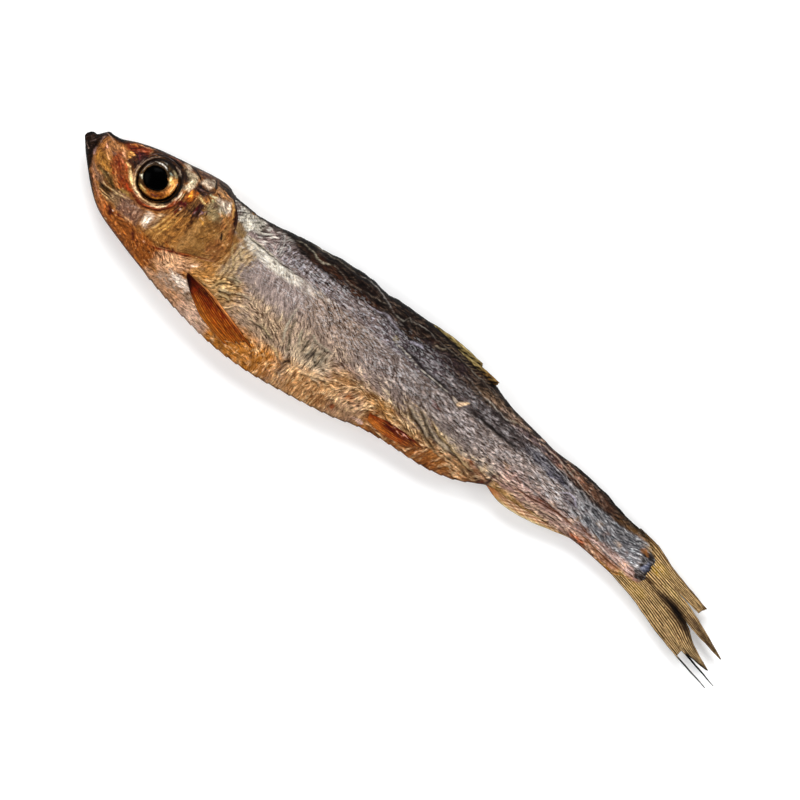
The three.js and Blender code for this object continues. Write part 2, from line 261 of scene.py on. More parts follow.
class Coat:
    """The colour of every vertex of a piece, laid on in soft layers with ragged edges."""

    def __init__(self, x, y, base, seed=0, long=0.55, wide=0.42):
        self.colour = np.tile(np.array(linear(base)), (len(x), 1))
        self.ragged = rough(x / long, y / wide, seed + 11) + 0.5 * rough(x / 2.1, y / 1.7, seed + 12)

    def lay(self, code, cover, ragged=1.8):
        """Lays a colour over what is there, as far as cover says, from 0 to 1."""
        cover = np.clip(cover, 0, 1)
        cover = np.clip(cover + ragged * cover * (1 - cover) * self.ragged, 0, 1)[:, None]
        self.colour = self.colour * (1 - cover) + np.array(linear(code)) * cover

    def ripple(self, noise, low, high, first, second, where=1.0, ragged=1.8):
        """Lays a (colour, strength) on the high places of some noise, and another on the low ones."""
        for signed, (code, strength) in ((noise, first), (-noise, second)):
            self.lay(code, where * smooth(signed, low, high) * strength, ragged)

    def shade(self, factor):
        """Multiplies the brightness."""
        self.colour = self.colour * np.maximum(factor, 0.05)[:, None]


# The form of the skin
# How the wrinkles run: places on the head and flank, and the slope of the wrinkles there in degrees.
FLOW = [
    (1.5, 0.5, 60), (2.8, 0, 80), (3, -2, -60), (4.5, 1, -35), (5, -1, -25), (6, -3, -35),
    (6, -4.6, -42), (8, -0.5, -45), (8, -2.5, -35), (8, -4.3, -5), (8, -6, -38), (8, 3, 25),
    (11, 5.2, 20), (9.5, 1, 80), (11, -3, -15), (12, -4.5, -60), (14, -4, 80), (12, -6.5, -15),
    (15, -7.5, -20), (16, -3.5, 72), (18, -3, 80), (19.8, 0, 88), (19, 2, 85), (22, 2, 70),
    (22, -1, 88), (24.5, 1, -80), (24.5, -2, 80), (20, -6.5, -30), (22, -8, 15), (24, -5.2, 40),
    (15.5, 0, 80), (14.5, -2.5, 25), (16.5, 4.2, -35), (19, 5.2, -20), (22, 5, -15), (24.3, 4.5, -50),
    (18, 6.7, 12), (22, 6.9, -5), (17.7, 2.5, 80), (26.5, 5, -50), (27.3, 1, -78), (27.6, -3, 75),
    (28, -5.5, 20), (29.5, 1, 60), (30, -2.5, 20), (31.5, -5, 25), (30.5, 5, 35), (32.5, 5, -78),
    (34, 5.4, 60), (31, 2.8, 5), (33.5, 0.5, -60), (35, -2, -62), (37, 1.5, -58), (34, -5.5, 10),
    (39, -5, -30), (38, 3, -15), (40, 5.3, 0), (46, 5.3, -4), (42, 2.5, -30), (40.5, -2, -68),
    (43.5, -3, -75), (46, -3.5, -88), (45.5, 0, -38), (50, 0, -25), (49.5, -4.5, 22), (42, -7, -60),
    (43.5, -9, 88), (47, -8.5, 80), (52, -7.5, 82), (51, 3.5, -10), (53, 5.8, -15), (55, -2.5, -8),
    (56, 1, -22), (54, -5.5, 65), (60, 3, -10), (61, -1.5, -38), (60, -5.5, 12), (65, -2.2, -28),
    (66, 1, -9), (66, 5.2, -3), (68, -5.4, 60), (72, -2.6, -14), (73, 1.5, -3), (74, -4, 25),
    (78, 4.8, -10), (78, 1, 4), (82, -0.8, 12), (84, 2.6, -3), (84, -2.2, 22), (88, 1, 4), (89, 4, -14),
    (93, 2.4, -22), (92, -0.4, -5), (96, 4, 14), (99, 4.4, 22), (98, 2, 12), (98, 0, -6),
    (100, -1, -12), (30, 6.7, 10), (36, 7.4, 18), (42, 8.4, 2), (50, 8.6, 3), (56, 9, 8), (60, 8.2, 12),
    (66, 8, -10), (72, 7.2, -6), (80, 6.7, -10), (88, 6.2, -10), (96, 5.4, -8), (101, 5.2, -16),
    (28, -10, -8), (34, -10.8, -2), (23, -8.5, 15),
]


def flow_slope(x, y):
    """The slope of the wrinkles at each place, in degrees, from the places listed round it."""
    across = up = 0
    for at_x, at_y, slope in FLOW:
        weight = 1 / ((x - at_x) ** 2 + 2 * (y - at_y) ** 2 + 0.3) ** 2
        across = across + weight * math.cos(math.radians(2 * slope))
        up = up + weight * math.sin(math.radians(2 * slope))
    return np.degrees(np.arctan2(up, across)) / 2


# Slopes in degrees that the finest wrinkles are made for. Between two of them they are mixed.
GRAIN_SLOPES = [0, -30, -60, -90, -120, -150]


def grain_shares(x, y):
    """How much of each of the six slopes there is in the wrinkles of each place."""
    step = (-flow_slope(x, y) % 180) / 30
    lower = np.floor(step).astype(int) % 6
    t = smooth(step % 1, 0.2, 0.8)
    every = np.arange(len(x))
    shares = np.zeros((len(x), 6))
    shares[every, lower] += 1 - t
    shares[every, (lower + 1) % 6] += t
    return shares


def half_thickness(x, h):
    """Half the thickness of the section at x, a share h of the way up from the keel."""
    keel = keel_sharpness(x)
    widest = keel / (keel + BACK_SHARPNESS)
    full = (np.maximum(h, 0) / widest) ** keel * (np.maximum(1 - h, 0) / (1 - widest)) ** BACK_SHARPNESS
    return thickest(x) * full


def ridge(x, y, points, height, width):
    """A long low ridge along a curve, or a furrow where height is negative."""
    first, last = points[0][0], points[-1][0]
    ends = span(x, first, first + 2 * width, last - 2 * width, last)
    return height * ends * bell(y, curve(points)(x), width)


def round_iris(x, y):
    """How far each place is from the middle of the iris, and at what turn in degrees."""
    off_x, off_y = x - IRIS_CENTRE[0], y - IRIS_CENTRE[1]
    return np.hypot(off_x, off_y), np.degrees(np.arctan2(off_y, off_x))


def swelling(x, y, centre_x, centre_y, radius_x, radius_y, height):
    """A soft oval rise, or a hollow where height is negative."""
    return height * bell(x, centre_x, radius_x) * bell(y, centre_y, radius_y)


def large_forms(x, y):
    """What the solids have too: hollows, swellings and long folds of the dried flank."""
    return (
        swelling(x, y, 10.5, -4.6, 3.4, 1.3, -0.35)
        + swelling(x, y, 26.8, -1, 0.9, 5, -0.12)
        + swelling(x, y, 64, -1.5, 6, 1.8, -0.3)
        + ridge(x, y, [(27, 3.5), (45, 4.3), (60, 4.3), (76, 4.1), (90, 3.4), (101, 2.4)], -0.3, 0.6)
        + ridge(x, y, [(27, 2.2), (45, 2.6), (62, 2.6), (80, 2.5), (100, 1.6)], 0.22, 0.9)
        + ridge(x, y, [(30, 6.3), (45, 6.7), (55, 6.9), (66, 6.5), (82, 5.9), (98, 5.0)], -0.3, 0.5)
        + ridge(x, y, [(36, 7.4), (44, 8.7), (54, 8.6), (66, 8.2), (76, 7.0)], 0.22, 0.5)
        + ridge(x, y, [(78, -0.6), (84, -0.5), (88, 0.2), (94, 0.1)], -0.25, 0.6)
    )


# Wrinkles of the trunk, each with its course as a run of x, y, x, y, its half width, height and the
# colour of its crest. Their crests are pale, partly where the scales are rubbed off and partly as
# painted highlight, and they are dark where the skin has sunk, partly as painted shade.
WRINKLES = [
    # pale crests on the dark back
    ((33, 6.9, 34, 7.4, 36, 7.5, 37.5, 7.1, 38.5, 7.2, 40, 7.8), 0.12, 0.14, "#a39a86"),
    ((40, 7.8, 41.5, 7.7, 43, 7.3, 46, 7.7, 49, 8.2, 50, 8.2), 0.11, 0.12, "#75695c"),
    ((35.5, 8.2, 37.5, 8.6, 40, 8.7, 43.5, 9.0), 0.12, 0.13, "#84796a"),
    ((43.5, 9.0, 45, 9.4, 46.5, 9.2, 48, 9.0, 49.3, 8.35, 50.6, 8.0), 0.13, 0.16, "#97908a"),
    ((50.6, 8.0, 52, 7.8, 53, 8.2, 54.5, 8.8, 56, 8.95, 58, 8.7), 0.12, 0.15, "#8d867c"),
    ((58, 8.7, 62, 8.75, 66, 8.35, 68, 8.05, 70.5, 7.9), 0.1, 0.12, "#7c7468"),
    ((52.6, 8.1, 53.0, 8.75, 53.5, 8.4), 0.13, 0.12, "#9a9387"),
    ((58.2, 8.0, 59.2, 8.15, 59.9, 8.7), 0.14, 0.12, "#8a7f6c"),
    ((59.3, 7.3, 60.3, 7.75, 61.3, 7.7, 62.1, 7.3), 0.13, 0.12, "#857b78"),
    ((63.9, 7.1, 65, 7.4, 66.5, 7.05, 68, 6.75), 0.11, 0.13, "#9d948c"),
    ((68, 6.7, 70, 6.75, 72.6, 6.35, 74, 6.6), 0.11, 0.13, "#b3aa9e"),
    ((73, 6.5, 75, 6.9, 77.5, 7.1), 0.11, 0.1, "#958874"),
    ((78.5, 6.85, 82, 6.5, 84, 6.2, 86, 5.9, 88, 5.5, 90, 5.4), 0.1, 0.14, "#b3a494"),
    ((79.5, 5.75, 82, 5.4, 84, 5.1, 86, 4.7, 87.5, 4.8), 0.13, 0.14, "#b9b3b4"),
    ((84.5, 6.5, 85.6, 6.5, 86, 6.9), 0.1, 0.1, "#a08d72"),
    ((47, 6.6, 49, 6.8, 50, 7.15, 51.5, 6.75, 53.2, 6.45, 54.5, 6.5), 0.2, 0.16, "#b7b2bd"),
    ((55, 6.1, 56, 6.6, 57.3, 6.9), 0.3, 0.1, "#a8a3b0"),
    # wrinkles behind the nape
    ((28.1, 4.5, 29.5, 5.1, 30.4, 6.0), 0.13, 0.14, "#dcd6c4"),
    ((31.3, 7.0, 32.2, 6.1, 32.6, 4.9, 32.9, 3.8), 0.13, 0.16, "#cfc9c2"),
    ((30.7, 6.9, 31.6, 6.2, 32.0, 5.2, 32.1, 4.2), 0.1, 0.13, "#b5adaa"),
    ((32.6, 6.2, 33.4, 5.9, 33.7, 5.2), 0.12, 0.12, "#d9d4d2"),
    ((27.3, 3.55, 29, 3.6, 31, 3.6, 33.5, 3.5), 0.1, 0.1, "#c9bda6"),
    # the line along the flank, with the torn strip that stands off it
    ((52.5, 5.0, 54, 4.85, 56, 4.6, 58, 4.25, 60, 4.12, 62, 4.1, 64.3, 3.95), 0.12, 0.16, "#cfc6b6"),
    # wavy gold wrinkles round the gill cover
    ((27.9, 1.9, 28.3, 0.9, 29.3, 0.3), 0.16, 0.12, "#c9b08a"),
    ((27.0, 1.0, 27.3, 0.2, 27.9, -0.4), 0.14, 0.1, "#b89a6a"),
    ((28.0, 0.4, 28.2, -0.6, 28.9, -1.4), 0.15, 0.1, "#bda072"),
    ((28.2, -5.6, 28.6, -4.2, 29.6, -3.4), 0.14, 0.12, "#b59664"),
    ((29.0, -5.2, 30.0, -4.7, 31.0, -4.4), 0.18, 0.14, "#c9b48e"),
    ((29.5, -5.7, 30.6, -5.3, 31.6, -5.4), 0.15, 0.12, "#bea67a"),
    ((28.9, -3.0, 30.2, -2.7, 31.2, -3.1), 0.15, 0.1, "#baa47e"),
    ((31.5, -3.9, 32.6, -3.5, 33.7, -3.3), 0.15, 0.1, "#bfac8e"),
    ((29.6, -2.2, 30.6, -2.4, 31.2, -2.3), 0.12, 0.1, "#c6b592"),
    ((24.4, -5.4, 25.2, -4.6, 25.8, -4.1), 0.14, 0.1, "#e3c9a4"),
    ((24.1, -5.0, 24.7, -4.5, 25.0, -4.2), 0.1, 0.1, "#f0dcc2"),
    ((24.9, -5.2, 26, -5.6, 27.6, -5.8), 0.13, 0.1, "#c2a674"),
    ((23.4, -6.0, 24.5, -6.0, 26, -6.1, 28, -6.2), 0.11, 0.12, "#cf9a55"),
    # folds across the middle
    ((39.5, 0.2, 39.8, -1.8, 40.2, -3.6, 41.0, -5.2), 0.16, 0.13, "#c3b7a0"),
    ((42.0, -1.8, 42.5, -3.2, 43.2, -4.3), 0.16, 0.12, "#a89d84"),
    ((43.6, -1.4, 44.3, -2.0, 45.4, -2.2, 47.6, -2.0), 0.16, 0.1, "#a49a83"),
    ((44.4, -2.4, 44.8, -3.6, 44.6, -4.8), 0.2, 0.14, "#a79a86"),
    ((46.2, -2.4, 45.9, -3.6, 46.3, -4.7), 0.2, 0.14, "#a3957f"),
    ((47.4, -2.4, 47.0, -3.6, 47.3, -4.6), 0.18, 0.12, "#a3957f"),
    ((36.2, -5.5, 37.6, -5.3, 38.6, -5.6, 39.6, -5.9), 0.15, 0.12, "#c4ad84"),
    ((39.8, -6.6, 41, -6.8, 42.0, -7.5), 0.15, 0.14, "#cbae7e"),
    ((45.4, -7.0, 47, -6.4, 48.4, -5.8, 49.6, -5.4), 0.2, 0.16, "#d9b68c"),
    ((47.2, -6.7, 48.2, -6.5, 49.0, -6.7), 0.14, 0.12, "#e9cba4"),
    # folds that run back to the vent and along the stalk
    ((60.6, -0.3, 62, -1.4, 64, -2.1, 66, -2.9), 0.22, 0.14, "#a3927c"),
    ((62.6, -0.1, 64, -1.0, 66, -2.0, 68, -2.3, 71, -2.2), 0.2, 0.14, "#a8977e"),
    ((64.5, -0.4, 66.5, -1.4, 69, -1.8, 72, -2.4, 74, -2.6), 0.16, 0.12, "#b99c6f"),
    ((69, -3.1, 71, -2.9, 73, -3.0), 0.14, 0.1, "#b98a5c"),
    ((81, -1.5, 84, -0.9, 87, -0.4, 89, -0.5), 0.12, 0.1, "#c4a58c"),
    ((79.5, 1.0, 83, 0.95, 86, 0.9, 88.5, 0.8), 0.13, 0.1, "#b9a295"),
    ((84, -1.9, 85.3, -1.7, 86.4, -1.4), 0.1, 0.08, "#d9b88c"),
    ((94.3, 0.7, 96, 0.5, 98.5, 0.2), 0.13, 0.1, "#c9b6ac"),
    ((85.2, 2.9, 86.9, 3.8, 88.6, 2.7), 0.13, 0.12, "#b3aab8"),
]

FURROWS = [
    ((27.2, 3.5, 30, 3.45, 34, 3.4, 38, 3.75), 0.1, -0.16, "#3c322c"),
    ((54, 5.05, 57, 4.75, 60, 4.35, 64.5, 4.3), 0.17, -0.2, "#1c1517"),
    ((66.8, 4.0, 70, 4.05, 74, 4.0, 77.5, 4.15), 0.2, -0.2, "#1c1715"),
    ((60.0, -0.7, 61.6, -1.9, 63.5, -2.4, 66, -3.3, 68.7, -4.0), 0.16, -0.22, "#5c4023"),
    ((62.0, -0.3, 63.6, -1.2, 65.2, -2.3, 67, -2.6), 0.15, -0.2, "#63503a"),
    ((64.0, -0.2, 65.6, -1.3, 67.5, -1.7, 70, -2.2, 72, -2.8, 74, -3.1), 0.14, -0.2, "#5f4025"),
    ((70, -2.8, 72.5, -2.9, 74.5, -2.6), 0.12, -0.14, "#4e2a18"),
    ((43.2, -6.4, 43.35, -7.4, 43.1, -8.6, 43.3, -10), 0.14, -0.24, "#4a2510"),
    ((41.8, -7.6, 42.8, -7.75, 43.2, -7.0, 44.1, -7.1), 0.14, -0.2, "#37281c"),
    ((45.0, -6.9, 45.1, -8.4, 45.3, -10), 0.11, -0.14, "#8a5420"),
    ((43.7, -1.8, 43.9, -3.2, 43.9, -5.0), 0.16, -0.16, "#5a4d3e"),
    ((45.3, -2.6, 45.5, -4.2, 45.2, -5.2), 0.16, -0.16, "#5a4e42"),
    ((46.7, -2.6, 46.8, -4.0, 46.6, -5.4), 0.16, -0.16, "#564a3a"),
    ((40.4, -1.4, 40.9, -3.0, 41.8, -4.8, 42.4, -6.2), 0.14, -0.14, "#6e624c"),
    ((79.5, -0.7, 82, -0.5, 85, 0.1, 88, 0.45, 90, 0.3), 0.13, -0.18, "#7c4a33"),
    ((83, 0.35, 86, 0.55, 88, 0.3), 0.1, -0.1, "#8a5038"),
    ((91, 0.0, 95, -0.2, 99, -0.5), 0.12, -0.12, "#8c5a3a"),
    ((76.35, -1.4, 76.45, -2.2, 76.2, -2.9), 0.13, -0.2, "#4a2c20"),
]


def make_crinkles(count, seed, first_x, last_x, longest=2.4, widest=0.13):
    """Many small wrinkles that run with the flow, each as a run, half width and strength."""
    draw = np.random.default_rng(seed)
    x = draw.uniform(first_x, last_x, count)
    y = y_at(x, draw.uniform(0.03, 0.97, count))
    length = draw.uniform(0.5, longest, count)
    path = [(x, y)]
    bias = draw.normal(0, 12, count)
    for _ in range(4):
        slope = np.radians(flow_slope(x, y) + bias + draw.normal(0, 18, count))
        x = x + np.cos(slope) * length / 4
        y = y + np.sin(slope) * length / 4
        path.append((x, y))
    widths = draw.uniform(0.08, widest, count)
    strengths = draw.uniform(0.3, 1.0, count)
    runs = np.array(path).reshape(-1, count).T
    return list(zip(runs, widths, strengths))


# The light comes from the back of the head, so a crest's shaded side lies this way from it.
SHADE_X, SHADE_Y = 0.45, -0.9


def crests(x, y, wrinkles):
    """Crests of many wrinkles, which get a painted highlight, and their lee side, which gets painted shade,
    each from 0 to 1.
    """
    crest, lee_shade = np.zeros(len(x)), np.zeros(len(x))
    for run, width, strength in wrinkles:
        crest = np.maximum(crest, strength * stroke(x, y, run, width))
        offset = 1.6 * width
        lee_shade = np.maximum(lee_shade, strength * stroke(x - SHADE_X * offset, y - SHADE_Y * offset, run, width))
    return crest, np.clip(lee_shade - crest, 0, 1)


def trunk_relief(x, y, seed):
    """Fine folds of the trunk in mm, with the share of each place that is crest."""
    steep = span(x, 29, 33, 40, 44)
    slant = span(x, 40, 44, 50, 54)
    sloping = span(x, 50, 54, 68, 74)
    level = smooth(x, 68, 74)
    nape = 1 - smooth(x, 29, 33)
    warp = 0.35 * rough(x / 2.2, y / 2.2, seed + 3)
    fine = (
        nape * rough(x / 0.9 + warp, y / 0.7, seed + 1)
        + steep * streaks(x, y + warp, -62, 2.4, 0.5, seed + 2)
        + slant * streaks(x, y + warp, -34, 1.8, 0.55, seed + 4)
        + sloping * streaks(x, y + warp, -17, 2.2, 0.5, seed + 5)
        + level * streaks(x, y + warp, -3, 2.4, 0.5, seed + 6)
    )
    on_back = smooth(y, 5.8, 6.8)
    lower = 1 - smooth(y, -4.5, -1.5)
    coarse = streaks(x, y + warp, -2, 2.6, 0.75, seed + 8)
    wavy = streaks(x, y + 2 * warp, 70, 1.6, 0.7, seed + 9)
    hollows = rough(x / 4.5, y / 2.6, seed + 10)
    form = 0.06 * fine + 0.13 * on_back * coarse + 0.06 * lower * wavy + 0.12 * hollows
    return form, np.clip(0.5 + 0.5 * fine + 0.15 * on_back * coarse, 0, 1)


def vent_folds(x, y, seed):
    """Folds of the belly that draw together at the vent, from -1 to 1, and how strong they are."""
    top = curve([(56, 1.0), (62, 0.6), (68, -0.6), (73, -1.9), (77, -3.0)])(x)
    bottom = curve([(56, -4.0), (62, -4.3), (68, -4.5), (73, -4.0), (77, -3.6)])(x)
    share = (y - bottom) / (top - bottom)
    strength = span(x, 57.5, 62.5, 74, 76) * span(share, 0, 0.12, 0.8, 1)
    return np.sin(2 * math.pi * 6.5 * share + 2.6 * rough(x / 3.5, y / 1.4, seed + 51)), strength


def wrinkle_relief(x, y):
    """The height of the listed wrinkles and furrows, in mm."""
    form = 0
    for run, width, height, _ in WRINKLES + FURROWS:
        form = form + height * stroke(x, y, run, width * 1.3, 0.15)
    return form


def section(x, h, side, out):
    """Puts places x and h of the section onto the skin, out mm proud of its plain form."""
    low, high = belly_line(x), back_line(x)
    saw = np.where((x > SCUTE_FIRST_X) & (x < SCUTE_LAST_X), ((x - SCUTE_FIRST_X) / SCUTE_PITCH) % 1, 0)
    low = low - 0.16 * saw * smooth(h, 0.06, 0)
    turn = np.clip(2 * h - 1, -1, 1)
    y = low + (high - low) * h + turn * np.abs(turn) * out
    z = mid_height(x) + side * (half_thickness(x, h) + np.sqrt(1 - turn ** 2) * out)
    return y, np.maximum(z, 0)


def flank_height(x, y, side):
    """The plain flank's z at x and y, for what lies on it."""
    h = np.clip(share_up(x, y), 0.01, 0.99)
    z = mid_height(x) + side * (half_thickness(x, h) + large_forms(x, y))
    return np.maximum(z, 0)


# The trunk's colours
# How the flank darkens from the belly to the back, at heights y.
BACKWARD_SHADE = curve([(-12, 1.0), (-6, 1.0), (-3, 0.92), (0, 0.76), (3, 0.66), (5, 0.55), (7, 0.42),
                        (10, 0.34)])
# How much lighter the back is made along it, at places x, to match its rubbed and dry stretches.
BACK_SHADE = curve([(26, -0.22), (44, 0), (60, 0.12), (66, 0.6), (72, 1.5), (76, 4.2), (82, 5.0), (88, 1.8),
                    (93, 0), (103, 0)])


def trunk_coat(x, y, fine, crest, lee_shade, seed):
    """Colours of the trunk, from the black back over the silver flank to the oily belly."""
    wx = x + 0.8 * rough(x / 1.9, y / 1.7, seed + 20)
    wy = y + 0.45 * rough(x / 2.2, y / 1.3, seed + 21)
    fleck = rough(x / 0.45, y / 0.4, seed + 22)
    patchy = rough(x / 2.6, y / 1.6, seed + 23)
    bundles = streaks(x, y, -58, 4, 0.9, seed + 27) * smooth(x, 44, 38)
    bundles += streaks(x, y, -18, 5, 0.9, seed + 28) * smooth(x, 38, 44)
    coat = Coat(x, y, "#877870", seed, 1.0, 0.32)

    # the middle of the flank, from the gill cover to the tail
    coat.lay("#97857e", span(wx, 29, 33, 38, 43) * smooth(wy, -2.8, -0.8))
    coat.lay("#8c7769", span(wx, 38, 42, 48, 54))
    coat.lay("#84726a", span(wx, 48, 54, 60, 66))
    coat.lay("#80716b", span(wx, 60, 66, 70, 74) * smooth(wy, -1.2, 0))
    coat.lay("#8e7d75", span(wx, 70, 75, 84, 88) * smooth(wy, -1.2, 0))
    coat.lay("#7d7776", smooth(wx, 85, 89) * smooth(wy, 0.8, 1.6))
    # lower flank: ochre where fat has dried in, grey-brown in the folds
    lower = 1 - smooth(wy, -3.8, -1.4)
    coat.lay("#9c7649", lower * smooth(wx, 36, 30))
    coat.lay("#87705b", lower * span(wx, 31, 36, 40, 43))
    coat.lay("#9d8972", lower * span(wx, 41, 43.5, 47.5, 50))
    coat.lay("#8d653f", lower * span(wx, 47.5, 51, 66, 71))
    coat.lay("#835733", smooth(wy, -2.2, -3.8) * smooth(wx, 62, 67))
    before_vent = area(wx, wy,
                       (64, -3.8, 68, -2.8, 72, -1.5, 76.2, -1.8, 76.8, -3.2, 72, -5.8, 64, -6.5), 0.4)
    coat.lay("#9a6238", before_vent * 0.75)
    # brown and gold behind the gill cover
    coat.lay("#916332", smooth(wx, 28.6, 26.8) * smooth(wy, 3.2, 1.8))
    behind_gill = area(wx, wy,
                       (27.5, 2.8, 29.2, 3.0, 30.6, 1.8, 29.9, 0, 29.2, -2.4, 28.0, -2.8, 27.7, 0), 0.5)
    coat.lay("#b79c78", behind_gill * 0.85)
    # belly: pale pink in front, orange behind the breast fin, tan further back
    belly = 1 - smooth(wy, belly_line(x) + 3.4, belly_line(x) + 5.4)
    coat.lay("#ad8c6f", belly * smooth(wx, 40, 36))
    coat.lay("#9f6224", belly * span(wx, 29.5, 32.5, 40, 46))
    coat.lay("#9e7147", belly * span(wx, 41, 46, 50, 53))
    coat.lay("#947156", belly * span(wx, 50, 53, 55.5, 57))
    coat.lay("#96592a", belly * span(wx, 56, 58, 68, 72) * smooth(wy, -4.2, -5.2))
    coat.lay("#be9b85", smooth(wy, -8.6, -9.6) * smooth(wx, 32, 29.5))
    coat.lay("#a09080", smooth(wy, -7.6, -8.6) * smooth(wx, 28, 26.5) * smooth(wy, -9.8, -9.2))
    # lower half of the stalk: pinkish brown
    stalk = smooth(wx, 75.5, 78) * smooth(wy, 2.0, 0.6)
    coat.lay("#aa867a", stalk)
    coat.lay("#a8804e", stalk * smooth(wy, -1.2, -2.0))
    coat.lay("#7e5848", spot(wx, wy, 90.5, 1.1, 3.2, 0.55, -10))
    coat.lay("#97684d", smooth(wx, 88, 92) * smooth(wy, 0.5, -0.3))

    # cream band below the line of the flank, fading backwards
    coat.lay("#dcd2c0", area(wx, y, (26.8, 3.5, 35, 3.45, 44, 4.1, 40, 2.3, 34, 1.7, 29, 1.9), 0.35)
             * (1 - 0.8 * smooth(wx, 33, 41)))
    pale_band = area(wx, y, (27, 3.7, 38, 3.7, 38, 2.2, 27.4, 1.4), 0.4)
    strands = pale_band * streaks(x, y, 8, 1.3, 0.25, seed + 29)
    coat.lay("#fbf6ea", smooth(strands, 0.08, 0.4) * 0.7)
    coat.lay("#6b5f55", smooth(-strands, 0.15, 0.45) * 0.6)
    # violet grey with silver sparkle above the line
    upper = smooth(wy, 3.5, 4.2)
    coat.lay("#83736f", upper * span(wx, 31.5, 33, 46, 54))
    coat.lay("#67595d", upper * span(wx, 46, 54, 60, 66))
    coat.lay("#615452", upper * span(wx, 60, 66, 80, 86))
    coat.lay("#5f5b67", spot(wx, wy, 82, 4.7, 5, 0.8, -6))
    coat.lay("#5b5a5e", smooth(wx, 87, 91) * smooth(wy, 1.2, 2.0))
    # nape: white skin, then dark wrinkles
    coat.lay("#cbc3b2", area(wx, wy, (24.6, 6.3, 28.8, 6.3, 28.6, 4.6, 26.9, 3.9, 25.4, 4.2), 0.3))
    coat.lay("#9f8a85", area(wx, wy, (29.3, 6.4, 32.6, 6.6, 33.0, 3.7, 27.4, 3.6, 28.2, 4.4, 29.8, 5.2),
                             0.3) * 0.9)
    coat.lay("#8e6c3c", spot(wx, wy, 26.4, 3.3, 1.2, 0.9) * 0.8)
    coat.lay("#b07a34", spot(wx, wy, 26.3, 6.4, 0.6, 0.35))

    nape = smooth(wx, 34, 32.5) * smooth(wy, 3.8, 4.3)
    folded = streaks(x, y, 38, 1.4, 0.34, seed + 47)
    coat.lay("#f2ece0", nape * smooth(folded, 0.05, 0.35) * 0.85)
    coat.lay("#231c1b", nape * smooth(-folded, 0.08, 0.4) * 0.85)
    # folds that run with the edge of the gill cover
    from_gill = np.hypot(x - 34, (y + 0.5) / 1.4) / 0.75
    round_gill = np.sin(2 * math.pi * from_gill + 3 * rough(x / 1.3, y / 1.3, seed + 48))
    shoulder = area(wx, wy,
                    (26.8, 2.8, 29.6, 3.0, 31.0, 0.4, 30.6, -2.6, 33.0, -4.4, 31.0, -5.6, 27.2, -5), 0.5)
    coat.lay("#c5a36c", shoulder * smooth(round_gill, 0.2, 0.9) * 0.45)
    coat.lay("#5c3e20", shoulder * smooth(-round_gill, 0.1, 0.9) * 0.6)

    # silver sparkle: the scales' silver with painted glints, and painted highlight on the crests of the
    # fine relief
    scaly = span(wy, -0.8, 0.6, 6.2, 6.8) * smooth(wx, 30, 34)
    bright = smooth(wy, 3.2, 4.4) * (0.5 + 0.5 * smooth(wx, 62, 50)) * smooth(wx, 86, 78)
    coat.lay("#c9c3c4", scaly * smooth(fine, 0.62, 0.9) * 0.45)
    glints = streaks(x, y, -5, 0.9, 0.26, seed + 46)
    sparkle = bright * (1 - 0.6 * smooth(wy, 5.4, 6.4)) * (0.7 + 0.5 * span(wx, 44, 48, 54, 62))
    coat.lay("#e4e0ec", 0.95 * scaly * smooth(glints, 0.3, 0.6) * sparkle)
    thin = streaks(x, y, -14, 1.6, 0.2, seed + 25) * smooth(x, 99, 95)
    thin += streaks(x, y, 12, 1.4, 0.2, seed + 26) * smooth(x, 95, 99)
    stalk_skin = smooth(wx, 80, 86) * span(wy, 0.8, 1.6, 5.0, 5.8)
    coat.ripple(thin, 0.12, 0.5, ("#d6d9dc", 0.9), ("#141214", 0.8), stalk_skin)
    coat.lay("#2f2729", scaly * smooth(-glints, 0.25, 0.6) * (0.35 + 0.5 * bright))
    comb = streaks(x, y, 84, 0.9, 0.28, seed + 24)
    combed = span(wx, 32.5, 33.5, 41, 45) * span(wy, 3.9, 4.3, 6.2, 6.6)
    coat.ripple(comb, 0.05, 0.5, ("#cdc8d2", 0.7), ("#33292c", 0.8), combed)
    # painted shade in the hollows of the fine relief
    coat.lay("#352c2c", scaly * smooth(1 - fine, 0.62, 0.9) * 0.45)
    # ochre and cream on the crests below as painted highlight, and dark in the hollows as painted shade
    below = 1 - smooth(wy, -1.5, 0.5)
    coat.lay("#dcc59a", below * smooth(fine, 0.62, 0.92) * 0.4)
    coat.lay("#4d3622", below * smooth(1 - fine, 0.62, 0.92) * 0.4)
    coat.lay("#d8a870", belly * smooth(patchy, 0.1, 0.7) * 0.35)
    coat.lay("#7c421a", belly * smooth(-patchy, 0.15, 0.7) * 0.35)

    pleats = streaks(x, y, 84, 1.8, 0.4, seed + 49)
    coat.ripple(pleats, 0.12, 0.55, ("#e0bd88", 0.45), ("#63391a", 0.55), belly * span(x, 34, 38, 74, 77))
    # the vent's folds, paler on their crests and darker in their hollows, as painted light and shade
    folds, strength = vent_folds(x, y, seed)
    coat.ripple(folds, 0.3, 0.95, ("#cbaa7c", 0.5), ("#4c3220", 0.6), strength)

